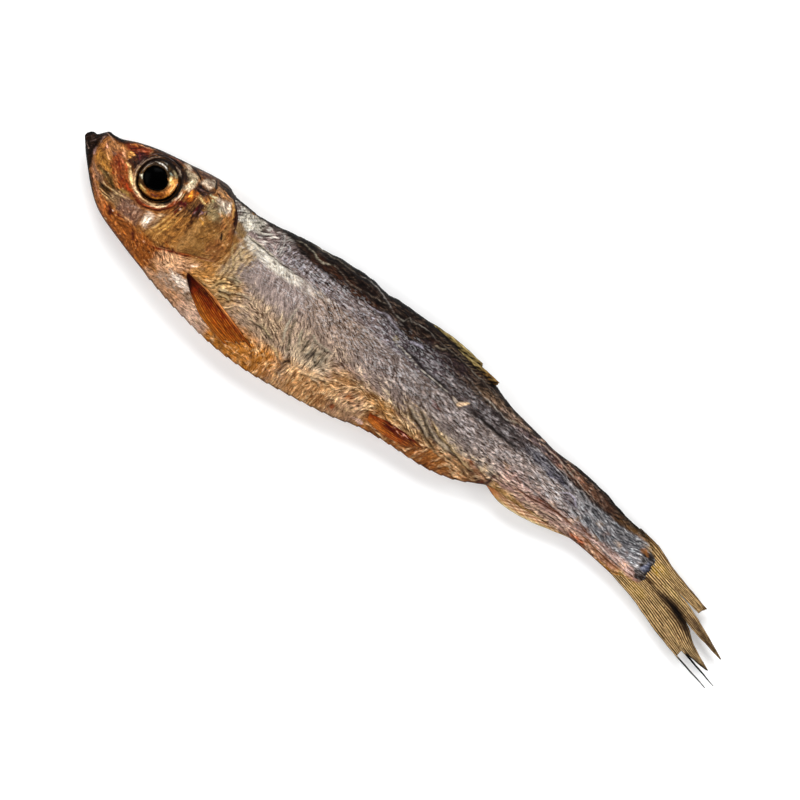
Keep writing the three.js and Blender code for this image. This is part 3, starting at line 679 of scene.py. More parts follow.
    # black back with brown where it is thin
    edge = curve([(22, 6.3), (28, 6.6), (31, 6.9), (34, 6.6), (37, 6.2), (44, 6.4), (48, 6.8), (50, 7.2),
                  (54, 6.5), (60, 6.9), (66, 6.4), (72, 6.4), (78, 6.1), (84, 5.6), (90, 4.9), (96, 5.0),
                  (103, 5.6)])(x)
    back = smooth(wy, edge - 0.3, edge + 0.4)
    coat.lay("#241713", back, 0.9)
    coat.lay("#46281c", back * smooth(patchy, 0.0, 0.5) * (0.5 + 0.4 * smooth(wx, 74, 80)))
    coat.lay("#4a3022", back * smooth(wx, 82, 87) * smooth(wy, 7.1, 6.6) * 0.9)
    coat.lay("#7a5833", back * smooth(wx, 92.5, 97) * 0.85)
    coat.lay("#472819", spot(wx, wy, 43, 7.1, 8, 0.6) * 0.9)
    coat.lay("#4a3a40", spot(wx, wy, 61, 7.4, 6, 0.8) * 0.6)
    under_fin = area(x, y, (56.5, 8.9, 58, 9.8, 65, 9.7, 69, 8.9, 67, 8.3, 60, 8.7), 0.2)
    slanted = under_fin * np.sin(2 * math.pi * (x - 1.4 * y) / 0.8 + fleck)
    coat.lay("#8a7458", smooth(slanted, 0.5, 0.95) * 0.9)
    coat.lay("#66513f", back * spot(wx, wy, 71, 7.2, 6, 0.9) * 0.8)
    coat.lay("#7d757a", back * spot(wx, wy, 77, 6.8, 7, 1.2) * 0.1)
    # painted shade along the edge of the back, where the skin turns under
    coat.lay("#0e0a09", back * smooth(back_line(x) - y, 0.9, 0.2) * 0.8)
    coat.lay("#0b0807", back * smooth(-glints, 0.15, 0.5) * 0.7)
    coat.lay("#8d8377", back * smooth(glints + 0.3 * patchy, 0.4, 0.8) * 0.5)
    hairs = streaks(x, y, 3, 1.6, 0.2, seed + 52)
    coat.lay("#6b5545", back * smooth(hairs, 0.12, 0.5) * 0.6)
    coat.lay("#070404", back * smooth(-hairs, 0.12, 0.45) * 0.6)
    # the dark stripe along the stalk, between its two pale lines
    coat.lay("#1f1410", area(wx, wy, (77, 6.2, 82, 6.0, 88, 5.4, 93, 5.2, 93, 4.7, 87, 4.9, 80, 5.6), 0.2)
             * 0.8)

    # the root of the tail: black, with a blue shine, and orange above and below
    coat.lay("#8a6c3e", smooth(wx, 98.5, 101) * smooth(wy, 4.0, 4.6))
    coat.lay("#9a7636", smooth(wx, 97.5, 100) * smooth(wy, 0.1, -0.5))
    tail_root = area(wx, wy,
                     (100.2, 4.2, 102.2, 4.4, 103.4, 2.5, 102.6, 0.1, 101.4, 0.0, 100.7, 1.2), 0.3)
    coat.lay("#17110f", tail_root * 0.95)
    coat.lay("#5a5f74", spot(wx, wy, 101.6, 2.4, 0.55, 1.0) * 0.7)
    coat.lay("#8f5a2c", spot(wx, wy, 100.3, 3.9, 0.9, 0.5) * 0.9)
    coat.lay("#a87032", spot(wx, wy, 98.6, -1.3, 3.0, 0.5, -5))

    # single spots
    for cx, cy, rx, ry, code in [
        (53.3, -5.5, 0.6, 0.5, "#8a481c"), (52.4, -7.9, 0.45, 0.6, "#7c3816"),
        (63.6, 1.35, 1.1, 0.35, "#5a2c22"), (72.9, -1.8, 0.7, 0.5, "#62290f"),
        (75.3, -2.9, 1.2, 0.5, "#4a160a"), (91.5, -0.6, 1.3, 0.4, "#a3481c"),
        (53.3, 5.3, 0.8, 0.4, "#8a774c"), (64.3, -5.6, 2.4, 0.7, "#8a5024"),
        (56.4, -7.3, 0.9, 0.45, "#d9b3a0"), (23.8, -8.0, 1.6, 0.6, "#a8a29c"),
        (24.4, -7.8, 0.4, 0.3, "#e6e4e6"), (76.6, -1.6, 0.5, 1.2, "#6e4c3e"),
        (57.5, -3.5, 3, 1.0, "#996b3a"), (69, -4.6, 3, 0.6, "#8a5426"),
    ]:
        coat.lay(code, spot(wx, wy, cx, cy, rx, ry) * 0.85)

    # small wrinkles: a painted highlight, silver or cream, on the crest, and painted shade in its lee
    quiet = 1 - 0.6 * smooth(x, 44, 38) * smooth(y, -3, -1)
    quiet = quiet * (1 + 0.9 * span(x, 50, 60, 90, 100) * (1 - 0.5 * back))
    crest, lee_shade = crest * quiet, lee_shade * quiet
    coat.shade(1 - 0.7 * lee_shade + 0.9 * crest)
    silver_side = smooth(wy, -1.5, 1)
    pale = crest * (0.3 + 0.3 * fleck)
    coat.lay("#d8d2d2", pale * silver_side * (1 - 0.9 * back))
    coat.lay("#6e5a48", back * crest * (0.5 + 0.5 * fleck) * (1 - 0.75 * smooth(x, 62, 70)))
    coat.lay("#070504", back * lee_shade * 0.8)
    coat.lay("#e6cfa4", pale * (1 - silver_side))
    # the outline is painted dark, as painted shade where the skin turns under
    rim = np.minimum(back_line(x) - y, y - belly_line(x))
    coat.shade(1 - 0.55 * smooth(rim, 0.35, 0.05))
    # random tone and broad streaks, with painted light and shade on the crests and hollows of the fine
    # relief
    coat.shade((1 + 0.3 * fleck + 0.25 * (fine - 0.5) + 0.12 * patchy)
               * (1 + 0.4 * bundles * (1 - 0.5 * back)))
    # darker towards the back
    coat.shade(1 - (1 - BACKWARD_SHADE(y + 0.4 * patchy)) * smooth(x, 100, 95))
    coat.shade(1 + back * BACK_SHADE(x))
    coat.shade(1 - 0.2 * span(x, 50, 62, 96, 100) * (1 - back))
    middle_half = smooth(x, 60, 65) * smooth(y, 4.2, 3.2)
    coat.shade(1 - 0.2 * smooth(x, 46, 56) * smooth(y, -1, 1) * (1 - back) * (1 - middle_half))
    sx = x + 0.16 * rough(x / 0.8, y / 0.8, seed + 35)
    sy = y + 0.16 * rough(x / 0.8, y / 0.8, seed + 36)
    # furrows in their own dark colours, with painted shade down their middles
    for run, width, _, code in FURROWS:
        coat.lay(code, stroke(sx, sy, run, width * 1.3, 0.15) * 0.9)
        coat.lay("#120c0a", stroke(sx, sy, run, width * 0.7, 0.3) * 0.8)
    # each wrinkle gets a painted shadow beside it on its shaded side, then its crest colour, partly painted
    # highlight
    for run, width, _, code in WRINKLES:
        shade_x, shade_y = 1.8 * width * SHADE_X, 1.8 * width * SHADE_Y
        coat.lay("#120c0a", stroke(sx - shade_x, sy - shade_y, run, width * 1.2, 0.15) * 0.75)
        narrow, strong = (0.6, 0.5) if run[1] > 4.2 else (0.8, 0.65)
        coat.lay(code, stroke(sx, sy, run, width * narrow, 0.15) * (strong + 0.5 * patchy + 0.5 * fleck),
                 0.8)
    # a scale that stands up on the stalk
    coat.lay("#41353c", area(x, y, (85.4, 2.8, 86.9, 3.6, 88.4, 2.6, 87.0, 2.2), 0.2) * 0.7)
    # the torn strip that stands off the line of the flank
    coat.lay("#2a1f1c", area(x, y, (64.0, 4.3, 66.0, 4.6, 66.4, 3.9, 65.8, 3.0, 64.4, 3.6), 0.3) * 0.7)
    coat.lay("#a8998a", area(x, y, (64.6, 4.1, 65.6, 4.0, 65.9, 3.5, 65.4, 3.5, 64.9, 3.8), 0.1) * 0.9)
    coat.lay("#c4a684", area(x, y, (65.7, 3.5, 66.2, 3.3, 66.6, 3.7, 67.3, 4.8, 66.6, 4.5, 66.0, 4.0), 0.1))
    # the throat below the gill cover has the colours of the head
    near = np.flatnonzero((x < 28.5) & (y < -3.2))
    throat, _ = head_coat(x[near], y[near], fine[near], 0 * x[near], crest[near], lee_shade[near], seed)
    part = (smooth(x[near], 28, 24.5) * smooth(y[near], -3.4, -4.4))[:, None]
    coat.colour[near] = coat.colour[near] * (1 - part) + throat * part
    return coat.colour


# The head's form and colours
MAXILLA = (3.0, 2.0, 6.4, 1.5, 8.1, 0.1, 9.7, -2.9, 7.2, -3.9, 4.2, -2.7, 2.9, -0.6)
# The linear tone that oiling leaves as it is. Darker places go darker and paler ones paler.
HEAD_MID_TONE = 0.13

# Patches of the head: corners as a run of x, y, x, y, colour, strength, softness of the edge in mm.
HEAD_PATCHES = [
    ((2.6, 2.6, 5.4, 2.9, 9.6, 5.0, 14, 6.2, 13, 5.4, 9.2, 4.2, 6.4, 2.6, 4.2, 2.0), "#3e1c17", 0.9, 0.3),
    ((5.8, 2.4, 7.0, 3.7, 9.0, 4.3, 9.4, 3.0, 8.6, 2.0, 7.0, 2.2), "#7a2f16", 0.95, 0.3),
    ((8.0, 3.2, 9.4, 3.6, 9.6, -0.2, 8.8, 0.6, 7.2, 0.8, 7.4, 1.7), "#3c1a1a", 0.85, 0.5),
    ((3.4, 1.8, 6.2, 2.0, 7.0, 1.0, 5.6, 0.0, 3.8, 0.1), "#a3764e", 0.9, 0.3),
    ((3.4, -0.3, 5.6, -0.4, 7.4, -1.8, 5.0, -2.0, 3.7, -1.5), "#a37739", 0.9, 0.3),
    ((5.8, 1.2, 7.2, 0.5, 9.3, -1.0, 11, -2.3, 8.8, -3.0, 7.0, -1.7, 5.7, -0.3), "#8a3f1c", 0.85, 0.4),
    ((4.5, -2.1, 6.6, -1.9, 7.7, -2.4, 8.9, -3.3, 7.6, -3.6, 5.6, -2.9), "#5a4a2a", 0.8, 0.4),
    ((3.6, -2.2, 5.4, -2.8, 7.4, -3.7, 7.0, -4.6, 5.0, -3.6), "#94735f", 0.9, 0.3),
    ((6.2, -3.9, 9.0, -4.0, 9.4, -4.9, 6.8, -4.8), "#4a3820", 0.9, 0.2),
    ((8.6, -3.5, 11.6, -3.0, 11.0, -5.4, 8.6, -5.2), "#86705a", 0.9, 0.3),
    ((10.2, -3.2, 14.3, -2.9, 14.3, -5.5, 10.6, -5.8), "#85685f", 0.85, 0.5),
    ((5.4, -4.4, 8.6, -5.4, 9.8, -6.2, 9.6, -7.6, 6.4, -5.7), "#a3653a", 0.9, 0.3),
    ((9.5, -6.2, 14.0, -5.8, 18.2, -6.1, 20.0, -6.0, 19.0, -9.9, 9.4, -7.8), "#9e5e2a", 0.95, 0.3),
    ((14.4, -2.8, 15.6, -2.6, 15.5, -5.0, 14.6, -4.9), "#c9c1ba", 0.85, 0.3),
    ((15.8, -2.1, 16.9, -1.4, 16.5, -4.0, 15.8, -4.8), "#b5a087", 0.9, 0.25),
    ((16.8, -1.5, 18.2, 0.2, 19.6, 0.6, 20.5, -0.5, 20.5, -5.0, 18.6, -5.9, 15.8, -5.6), "#a97b42", 0.95,
     0.3),
    ((18.2, 3.0, 19.3, 2.9, 19.2, 0.2, 18.5, -0.2, 18.2, 0.5), "#7c5c38", 0.9, 0.3),
    ((19.2, 2.8, 20.4, 3.0, 21.4, 2.5, 20.9, 1.7, 20.5, 0.9, 19.9, 0.2, 19.3, 0.9), "#38202a", 0.95, 0.3),
    ((20.4, 3.0, 23.6, 3.6, 26.0, 2.4, 26.6, 0.0, 26.2, -2.4, 21.0, -5.0, 20.4, -2), "#896537", 0.95, 0.35),
    ((20.6, 4.4, 22.6, 4.4, 23.6, 3.6, 23.8, 2.2, 21.8, 1.8, 20.6, 2.4), "#8d8468", 0.95, 0.4),
    ((14.3, 6.2, 18.4, 7.2, 22.4, 7.2, 22.8, 6.4, 18, 5.4, 15.2, 5.7), "#745442", 0.9, 0.3),
    ((14.5, 5.4, 16.8, 5.4, 17.4, 4.3, 17.2, 3.2, 16.4, 2.9, 16.0, 3.9, 15.3, 4.7), "#c3c0b1", 0.9, 0.3),
    ((17.4, 4.8, 18.6, 4.9, 19.8, 5.2, 20.0, 4.4, 19.5, 3.6, 18.3, 3.5, 17.4, 3.8), "#35262a", 0.85, 0.3),
    ((17.5, 5.0, 18.5, 6.4, 19.4, 6.4, 19.9, 5.5, 19.3, 5.05, 18.3, 4.85), "#c7c3bc", 0.9, 0.25),
    ((20.0, 6.2, 23.4, 6.2, 24.4, 5.0, 23.6, 5.0, 22.4, 5.5, 20.2, 5.3), "#b7987d", 0.9, 0.25),
    ((19.6, 7.3, 20.0, 6.1, 22.6, 5.9, 24.6, 5.6, 25.2, 4.6, 24.0, 6.6, 22.4, 7.3), "#46352a", 0.9, 0.3),
    ((23.2, 6.1, 24.5, 5.6, 25.7, 3.8, 26.2, 2.2, 25.4, 2.0, 24.8, 3.5, 23.9, 4.9), "#33171a", 0.85, 0.3),
    ((20.9, 5.0, 23.2, 5.4, 24.0, 4.2, 23.4, 3.4, 22.2, 3.8, 21.0, 4.3), "#aeadab", 0.85, 0.35),
    ((20.9, 4.2, 22.6, 4.0, 22.8, 3.0, 21.0, 3.0), "#70685c", 0.7, 0.3),
    ((19.0, -5.8, 23.0, -4.2, 26.4, -2.4, 26.0, -5.0, 23.4, -6.4, 21.6, -8.2, 19.0, -8.4), "#c09a7c", 0.9,
     0.5),
    ((19.6, -5.9, 22.6, -5.0, 23.8, -5.8, 23.2, -7.0, 22.0, -8.6, 20.4, -8.8, 19.8, -7.4), "#d0ae94", 0.8,
     0.5),
    ((19.2, -9.0, 22.0, -8.6, 29.0, -9.4, 29.0, -12.0, 18.6, -10.6), "#c09c82", 0.9, 0.4),
    ((20.8, -8.2, 24.2, -8.4, 26.4, -8.8, 24.4, -9.4, 21.0, -9.1), "#a39a96", 0.75, 0.4),
    ((22.0, -7.5, 24.6, -7.0, 26.2, -8.0, 25.4, -8.6, 23.0, -8.3), "#f0f4fc", 0.8, 0.4),
    ((24.0, -4.6, 27.0, -3.2, 28.6, -4.4, 27.8, -6.0, 24.6, -6.0), "#b98e54", 0.8, 0.4),
    ((8.9, 3.9, 10.4, 4.9, 13, 5.5, 15, 5.3, 16.3, 4.4, 15.8, 3.4, 14.4, 4.5, 12.6, 5.0, 10.8, 4.6, 9.6,
      3.6), "#241210", 0.9, 0.3),
    ((20.4, 0.6, 21.6, 0.4, 22.2, -2.0, 21.4, -4.4, 20.6, -4.0), "#b8925e", 0.6, 0.4),
    ((16.8, 1.9, 18.3, 1.6, 18.2, -0.2, 17.4, -1.3, 16.9, -0.2), "#42140f", 0.8, 0.35),
    ((17.2, 3.8, 18.4, 3.7, 18.3, 1.7, 17.1, 1.9), "#8f4c18", 0.8, 0.25),
    ((24.4, 0.6, 26.2, 1.4, 26.6, -2.4, 24.6, -3.0, 24.0, -1.6), "#8c5a38", 0.6, 0.6),
    ((23.4, 2.7, 25.2, 3.0, 26.2, 1.8, 25.8, 1.0, 23.8, 1.4), "#84532f", 0.7, 0.5),
]

# Strokes of the head: points, half width, colour and strength. A pale one stands up a little, and
# a dark one is sunk.
HEAD_STROKES = [
    # snout and jaws
    ((0.5, 0.5, 0.9, 1.0, 1.7, 1.1), 0.22, "#0d0909", 0.9),
    ((1.8, 1.5, 2.5, 2.3, 3.4, 2.45, 4.8, 2.7, 6.2, 3.5), 0.3, "#100b0b", 1.0),
    ((2.6, 2.2, 3.2, 2.15, 4.4, 1.9), 0.1, "#b59a90", 0.8),
    ((2.9, 2.0, 2.75, 1.2, 2.9, 0.4), 0.14, "#8f7672", 0.8),
    ((3.3, 1.8, 3.2, 1.0, 3.35, 0.3), 0.12, "#4d2b22", 0.8),
    # the violet-grey and pale strokes of the snout are painted highlights on its wrinkles
    ((2.8, -0.2, 2.9, -0.9, 3.2, -1.7), 0.2, "#a48a90", 0.8),
    ((2.3, 0.2, 2.4, -0.7, 2.8, -1.8, 3.4, -2.6), 0.16, "#2a1c1c", 0.8),
    ((1.2, -0.5, 1.4, -0.85, 1.8, -0.9), 0.08, "#8d807e", 0.9),
    ((1.7, -0.9, 1.95, -1.2, 2.1, -1.0), 0.08, "#9d8f8c", 0.9),
    ((1.0, 0.6, 1.5, 0.2, 1.7, 0.7), 0.08, "#5d514e", 0.8),
    ((1.5, -0.3, 1.9, 0.3, 2.2, 0.9), 0.1, "#65585a", 0.7),
    ((0.2, -0.1, 1.0, -0.9, 2.0, -2.0, 3.0, -3.0, 4.0, -3.9, 5.0, -4.7, 6.8, -6.1), 0.34, "#0f0a0a", 1.0),
    ((3.4, -2.4, 4.4, -3.4, 5.6, -4.3, 6.8, -5.2, 8.0, -6.0), 0.16, "#b98a70", 0.75),
    ((3.9, -3.3, 5.4, -4.5, 7.0, -5.6), 0.1, "#5a3422", 0.7),
    # the upper jaw's plate
    ((3.5, 1.1, 3.9, 0.7, 4.3, 0.4), 0.14, "#cba096", 0.8),
    ((3.6, 0.6, 3.9, 0.3, 4.0, -0.2), 0.12, "#56301f", 0.85),
    ((4.0, 1.7, 4.8, 1.6, 5.8, 1.9, 6.6, 1.8), 0.14, "#cd9a6b", 0.7),
    ((4.6, 1.2, 4.9, 0.9, 5.6, 1.2), 0.12, "#6e4a30", 0.7),
    ((4.9, 0.7, 5.3, 0.5, 5.7, 0.7), 0.18, "#75564c", 0.8),
    ((4.3, 0.1, 5.0, -0.4, 5.8, -0.6), 0.12, "#e0b080", 0.75),
    ((3.4, 0.1, 3.6, -0.8, 4.2, -1.8), 0.14, "#c08c40", 0.7),
    ((3.9, -0.6, 4.6, -0.9, 5.4, -1.0), 0.14, "#70460f", 0.7),
    ((4.6, -1.5, 5.6, -1.5, 6.6, -1.8), 0.16, "#c08e44", 0.7),
    ((6.1, 1.8, 6.6, 1.3, 7.1, 0.9), 0.16, "#e2b294", 0.85),
    ((6.8, 2.2, 7.4, 2.1, 7.9, 2.2), 0.2, "#e3b66e", 0.9),
    ((6.9, 1.9, 7.3, 1.6, 7.7, 1.7), 0.14, "#d9a35c", 0.9),
    ((6.3, 0.9, 6.9, 0.4, 7.9, 0.2, 8.6, -0.2), 0.12, "#d88a68", 0.7),
    ((6.4, 0.4, 7.0, -0.3, 7.7, -0.8), 0.22, "#7a2410", 0.85),
    ((7.0, 0.6, 7.8, 0.2, 8.6, -0.6, 9.6, -1.4), 0.1, "#c05a2c", 0.7),
    ((7.6, -1.0, 8.4, -1.5, 9.4, -1.9), 0.14, "#6e2410", 0.7),
    ((9.4, -1.6, 10.0, -2.0, 10.8, -2.2), 0.2, "#c4481c", 0.9),
    ((7.4, 0.7, 8.0, 0.5, 8.6, 0.6), 0.12, "#e9d09a", 0.8),
    ((8.5, 0.3, 9.0, -0.2, 9.6, -0.8, 10.6, -1.3), 0.22, "#f1e3b4", 0.95),
    ((10.2, -1.2, 11.2, -1.6, 12.4, -1.95), 0.14, "#f0dcc0", 0.9),
    ((8.3, 0.8, 8.8, 0.4, 9.4, -0.3), 0.1, "#54321c", 0.7),
    ((6.6, -0.9, 7.4, -1.6, 8.2, -2.4, 9.2, -3.0), 0.12, "#d29a60", 0.75),
    ((9.0, -3.0, 10.0, -2.8, 11.2, -2.9), 0.2, "#a89258", 0.7),
    ((7.4, -2.7, 8.0, -3.2, 8.6, -3.3), 0.2, "#43340c", 0.85),
    ((5.0, -2.4, 6.0, -2.5, 7.0, -2.9), 0.12, "#82704a", 0.7),
    ((5.8, -3.0, 6.8, -3.6, 8.0, -3.7, 9.6, -3.6, 11.2, -3.2), 0.1, "#cdbb94", 0.9),
    ((6.4, -4.0, 7.6, -4.1, 8.8, -4.0), 0.14, "#33240f", 0.8),
    ((6.2, -4.6, 7.4, -4.8, 8.8, -4.85, 10.0, -4.9), 0.08, "#c8ad84", 0.85),
    ((6.8, -5.0, 8.2, -5.15, 9.8, -5.3), 0.08, "#bfa47a", 0.8),
    ((6.6, -4.8, 8.4, -5.0, 9.4, -5.05), 0.06, "#3b2a18", 0.8),
    ((8.8, -3.9, 9.1, -4.4, 9.0, -4.9), 0.08, "#b8a486", 0.8),
    # cheek and throat
    ((10.6, -3.6, 11.6, -3.9, 12.4, -3.6, 13.4, -3.2), 0.12, "#b09a92", 0.7),
    ((11.0, -4.6, 11.8, -4.2, 12.6, -4.4), 0.14, "#a58b86", 0.7),
    ((13.2, -3.2, 12.9, -4.2, 12.2, -5.2), 0.12, "#b29a8e", 0.7),
    ((13.4, -3.6, 13.8, -4.6, 14.0, -5.3), 0.1, "#a98f80", 0.7),
    ((12.2, -3.9, 12.6, -4.8, 13.4, -5.4), 0.12, "#5d4039", 0.7),
    ((10.4, -5.1, 11.4, -5.2, 12.2, -5.6), 0.12, "#6b4a44", 0.7),
    ((13.9, -3.1, 14.1, -4.2, 14.3, -5.0), 0.12, "#68483a", 0.7),
    ((9.2, -5.6, 10.0, -6.2, 10.6, -6.8), 0.34, "#4d1215", 0.9),
    ((10.6, -6.2, 11.6, -5.9, 12.4, -5.9), 0.14, "#5c1f1a", 0.7),
    # a painted glint on the dark red blob
    ((10.2, -5.9, 10.5, -6.1), 0.1, "#e2c6c0", 0.9),
    ((11.8, -5.7, 12.8, -5.6, 13.8, -5.7), 0.12, "#dab088", 0.8),
    ((11.6, -6.1, 12.6, -6.2, 13.8, -6.1), 0.1, "#5e3418", 0.7),
    ((7.4, -5.5, 8.4, -6.0, 9.2, -6.9), 0.14, "#d08a52", 0.7),
    ((8.6, -5.6, 9.2, -6.3, 9.4, -7.0), 0.1, "#c46a30", 0.7),
    ((10.6, -7.0, 12.0, -7.2, 13.4, -7.4, 14.6, -7.4), 0.16, "#c47a3a", 0.6),
    ((9.8, -7.5, 10.4, -7.5), 0.1, "#f0d2a8", 0.8),
    ((11.4, -6.8, 12.8, -6.8, 13.8, -6.9), 0.1, "#6a3a18", 0.7),
    ((14.2, -6.3, 14.8, -7.0, 15.4, -7.7), 0.26, "#571f16", 0.85),
    ((15.4, -6.8, 15.8, -7.4, 16.6, -7.8), 0.12, "#7c3c24", 0.7),
    ((15.2, -5.6, 16.2, -5.9, 17.2, -6.0), 0.14, "#b4702e", 0.7),
    ((16.4, -6.4, 16.8, -6.8), 0.08, "#e8c0a0", 0.8),
    ((17.0, -6.6, 18.4, -6.4, 19.6, -6.2), 0.18, "#b87a40", 0.6),
    ((16.4, -8.8, 17.8, -9.2, 18.8, -9.4), 0.14, "#c07a34", 0.7),
    # white patch of the cheek with a painted highlight on it, and the fan of fine rods behind it
    ((14.8, -2.9, 14.7, -3.8, 14.9, -4.9), 0.14, "#f4f1f0", 0.9),
    ((15.3, -2.8, 15.2, -3.6, 15.4, -4.6), 0.12, "#fdfafa", 0.9),
    ((14.4, -4.8, 15.2, -5.2, 16.0, -5.0), 0.14, "#c9a071", 0.7),
    ((15.6, -4.8, 15.9, -5.0), 0.1, "#2e2018", 0.8),
    ((17.2, -1.4, 16.9, -2.6, 16.3, -4.4, 15.9, -5.4), 0.08, "#e2c684", 0.85),
    ((17.5, -1.2, 17.2, -2.8, 16.6, -4.6), 0.07, "#6b4012", 0.8),
    ((17.8, -0.9, 17.5, -2.6, 17.0, -4.2, 16.6, -5.2), 0.08, "#dcb568", 0.8),
    ((18.05, -0.8, 17.8, -2.6, 17.3, -4.6), 0.07, "#5c360e", 0.75),
    ((18.4, -0.4, 18.2, -2.0, 17.7, -3.8, 17.4, -4.8), 0.08, "#d9b266", 0.8),
    ((16.5, -1.9, 16.4, -3.0, 16.0, -4.2), 0.08, "#6e5236", 0.8),
    ((18.8, -4.4, 19.6, -5.0, 20.2, -5.2), 0.2, "#b06a2c", 0.6),
    # behind the eye: amber, blood red and black
    ((17.5, 3.5, 17.7, 2.8, 17.8, 2.2), 0.2, "#d88a28", 0.9),
    ((17.9, 2.9, 18.2, 2.4, 18.1, 1.9), 0.14, "#b4661c", 0.9),
    ((17.6, 2.4, 17.9, 2.9), 0.2, "#ffc050", 0.95),
    ((14.9, 3.9, 15.8, 3.0, 16.05, 1.6, 15.8, 0.2, 14.9, -1.0, 13.9, -1.7), 0.26, "#0c0808", 1.0),
    ((16.35, 2.7, 16.5, 1.9, 16.45, 1.0, 16.6, 0.4), 0.11, "#fff6e6", 0.9),
    ((16.8, 2.4, 16.9, 1.6, 16.8, 0.8), 0.08, "#e8dcae", 0.8),
    ((16.9, 3.0, 17.0, 2.0, 17.1, 1.2), 0.08, "#3a2c18", 0.8),
    ((16.0, -0.4, 15.5, -1.1, 14.7, -1.7, 13.6, -2.0), 0.13, "#efe4c8", 0.85),
    ((9.4, 3.6, 10.4, 4.5, 11.8, 4.95, 13.0, 4.9), 0.07, "#a9a0ae", 0.85),
    ((13.4, 4.6, 14.3, 4.3, 15.0, 3.7), 0.08, "#a79e98", 0.85),
    ((9.3, 2.9, 9.2, 1.8, 9.4, 0.6, 9.9, -0.4), 0.07, "#8d7f80", 0.8),
    ((9.0, 2.6, 8.9, 1.6, 9.1, 0.6), 0.1, "#1e1210", 0.8),
    ((14.0, 5.8, 14.8, 5.9, 15.6, 5.6), 0.2, "#e4e2da", 0.9),
    ((15.9, 5.1, 16.2, 4.5, 16.1, 3.9), 0.07, "#6f6a52", 0.8),
    ((16.7, 5.1, 16.9, 4.4, 16.6, 3.7), 0.07, "#8f967c", 0.8),
    ((16.3, 4.9, 16.5, 4.3, 16.4, 3.4), 0.1, "#ffffee", 0.8),
    ((17.4, 4.6, 18.2, 4.5, 19.0, 4.7, 19.8, 5.0), 0.12, "#0e080e", 0.95),
    ((17.5, 3.9, 18.3, 4.0, 19.2, 3.8), 0.12, "#120a10", 0.9),
    ((18.0, 4.25, 18.9, 4.3), 0.07, "#917c8a", 0.8),
    ((19.0, 4.1, 19.5, 4.3), 0.07, "#7d6c74", 0.8),
    ((19.8, 4.7, 20.5, 4.6, 21.0, 4.8), 0.12, "#e6ecd0", 0.9),
    ((19.7, 4.1, 20.1, 4.0, 20.6, 3.6), 0.08, "#2c2414", 0.9),
    ((7.6, 3.2, 8.4, 2.6, 9.0, 1.8), 0.1, "#7c3440", 0.8),
    ((8.0, 1.6, 8.6, 1.2, 9.2, 0.5), 0.12, "#180a0a", 0.85),
    ((17.0, 0.9, 17.3, 0.3, 17.2, -0.4), 0.12, "#3a0c0e", 0.9),
    ((17.3, 0.6, 17.9, 0.8), 0.07, "#c46a68", 0.8),
    ((21.0, 2.4, 20.4, 1.5, 20.6, 0.8), 0.07, "#b0909a", 0.8),
    ((19.2, 2.0, 19.3, 1.2, 19.2, 0.2), 0.1, "#1c0e12", 0.85),
    ((19.8, 0.6, 20.0, -0.4, 20.2, -1.4), 0.16, "#4c2c12", 0.8),
    ((15.0, 4.9, 15.6, 4.2, 16.0, 3.6), 0.1, "#2c1a14", 0.8),
    ((18.3, 3.0, 18.4, 2.2, 18.2, 1.6), 0.12, "#3a1014", 0.8),
    ((17.0, 1.5, 17.4, 1.0, 17.9, 1.2, 18.2, 0.6), 0.26, "#5c1216", 0.95),
    ((17.5, 1.4, 17.9, 1.5), 0.08, "#a34a50", 0.8),
    # a painted glint on the dark red
    ((17.7, 0.1, 17.9, 0.4), 0.12, "#f6ece8", 0.95),
    ((17.3, -0.7, 17.5, -0.2, 17.6, 0.2), 0.16, "#6b2016", 0.9),
    ((18.9, 2.2, 19.0, 1.4, 18.9, 0.4), 0.12, "#2a1a20", 0.8),
    ((19.4, 2.6, 19.6, 1.6, 19.5, 0.8), 0.14, "#6e1c24", 0.85),
    ((19.7, 1.6, 19.7, 0.9), 0.08, "#9c8490", 0.8),
    ((20.0, 2.4, 20.1, 1.4, 20.3, 0.6), 0.2, "#1a1018", 0.85),
    ((20.0, 1.8, 20.5, 1.9, 20.9, 1.7), 0.09, "#86708a", 0.8),
    ((20.8, 2.6, 21.2, 1.9, 21.4, 1.0), 0.1, "#45221a", 0.7),
    ((20.7, 0.9, 21.4, 0.8, 21.9, 0.4), 0.14, "#d0a050", 0.7),
    ((20.6, 1.4, 21.1, 1.1, 21.5, 1.2), 0.07, "#d8bfa0", 0.8),
    ((19.9, 2.4, 20.2, 0.4, 20.4, -1.2, 20.5, -2.8), 0.3, "#4a2a14", 0.7),
    ((20.5, -4.5, 20.6, -5.1, 20.8, -5.5), 0.2, "#4f1512", 0.9),
    # gill cover
    ((15.6, -6.9, 17.4, -6.6, 18.8, -6.1, 20.2, -5.4, 21.6, -4.8, 23.0, -4.1, 24.4, -3.3, 26.2, -2.4),
     0.13, "#7c2c12", 0.9),
    ((20.8, -5.0, 22.4, -4.2, 24.0, -3.4), 0.1, "#a8501f", 0.7),
    ((18.6, -5.8, 19.6, -5.3, 20.3, -4.9), 0.12, "#5b2412", 0.8),
    ((24.4, 1.6, 24.7, 1.0, 25.1, 0.4), 0.14, "#1f1210", 0.95),
    ((22.0, 3.0, 23.0, 3.2, 24.0, 2.8), 0.14, "#b07c4a", 0.6),
    # crown and temple
    ((6.6, 3.6, 7.4, 3.8, 8.4, 4.1, 10.0, 4.8), 0.1, "#d19c7c", 0.75),
    ((6.4, 3.0, 7.0, 3.4, 7.6, 3.4), 0.12, "#cf8848", 0.7),
    ((7.6, 2.9, 8.6, 3.6, 9.6, 4.3), 0.14, "#b56a4e", 0.6),
    ((7.2, 2.5, 8.2, 2.6, 8.8, 3.2), 0.14, "#4c1420", 0.7),
    ((9.2, 3.4, 10.0, 4.2, 11.2, 4.8, 12.6, 5.1, 14.2, 5.0, 15.2, 4.6), 0.14, "#1c0f0f", 0.85),
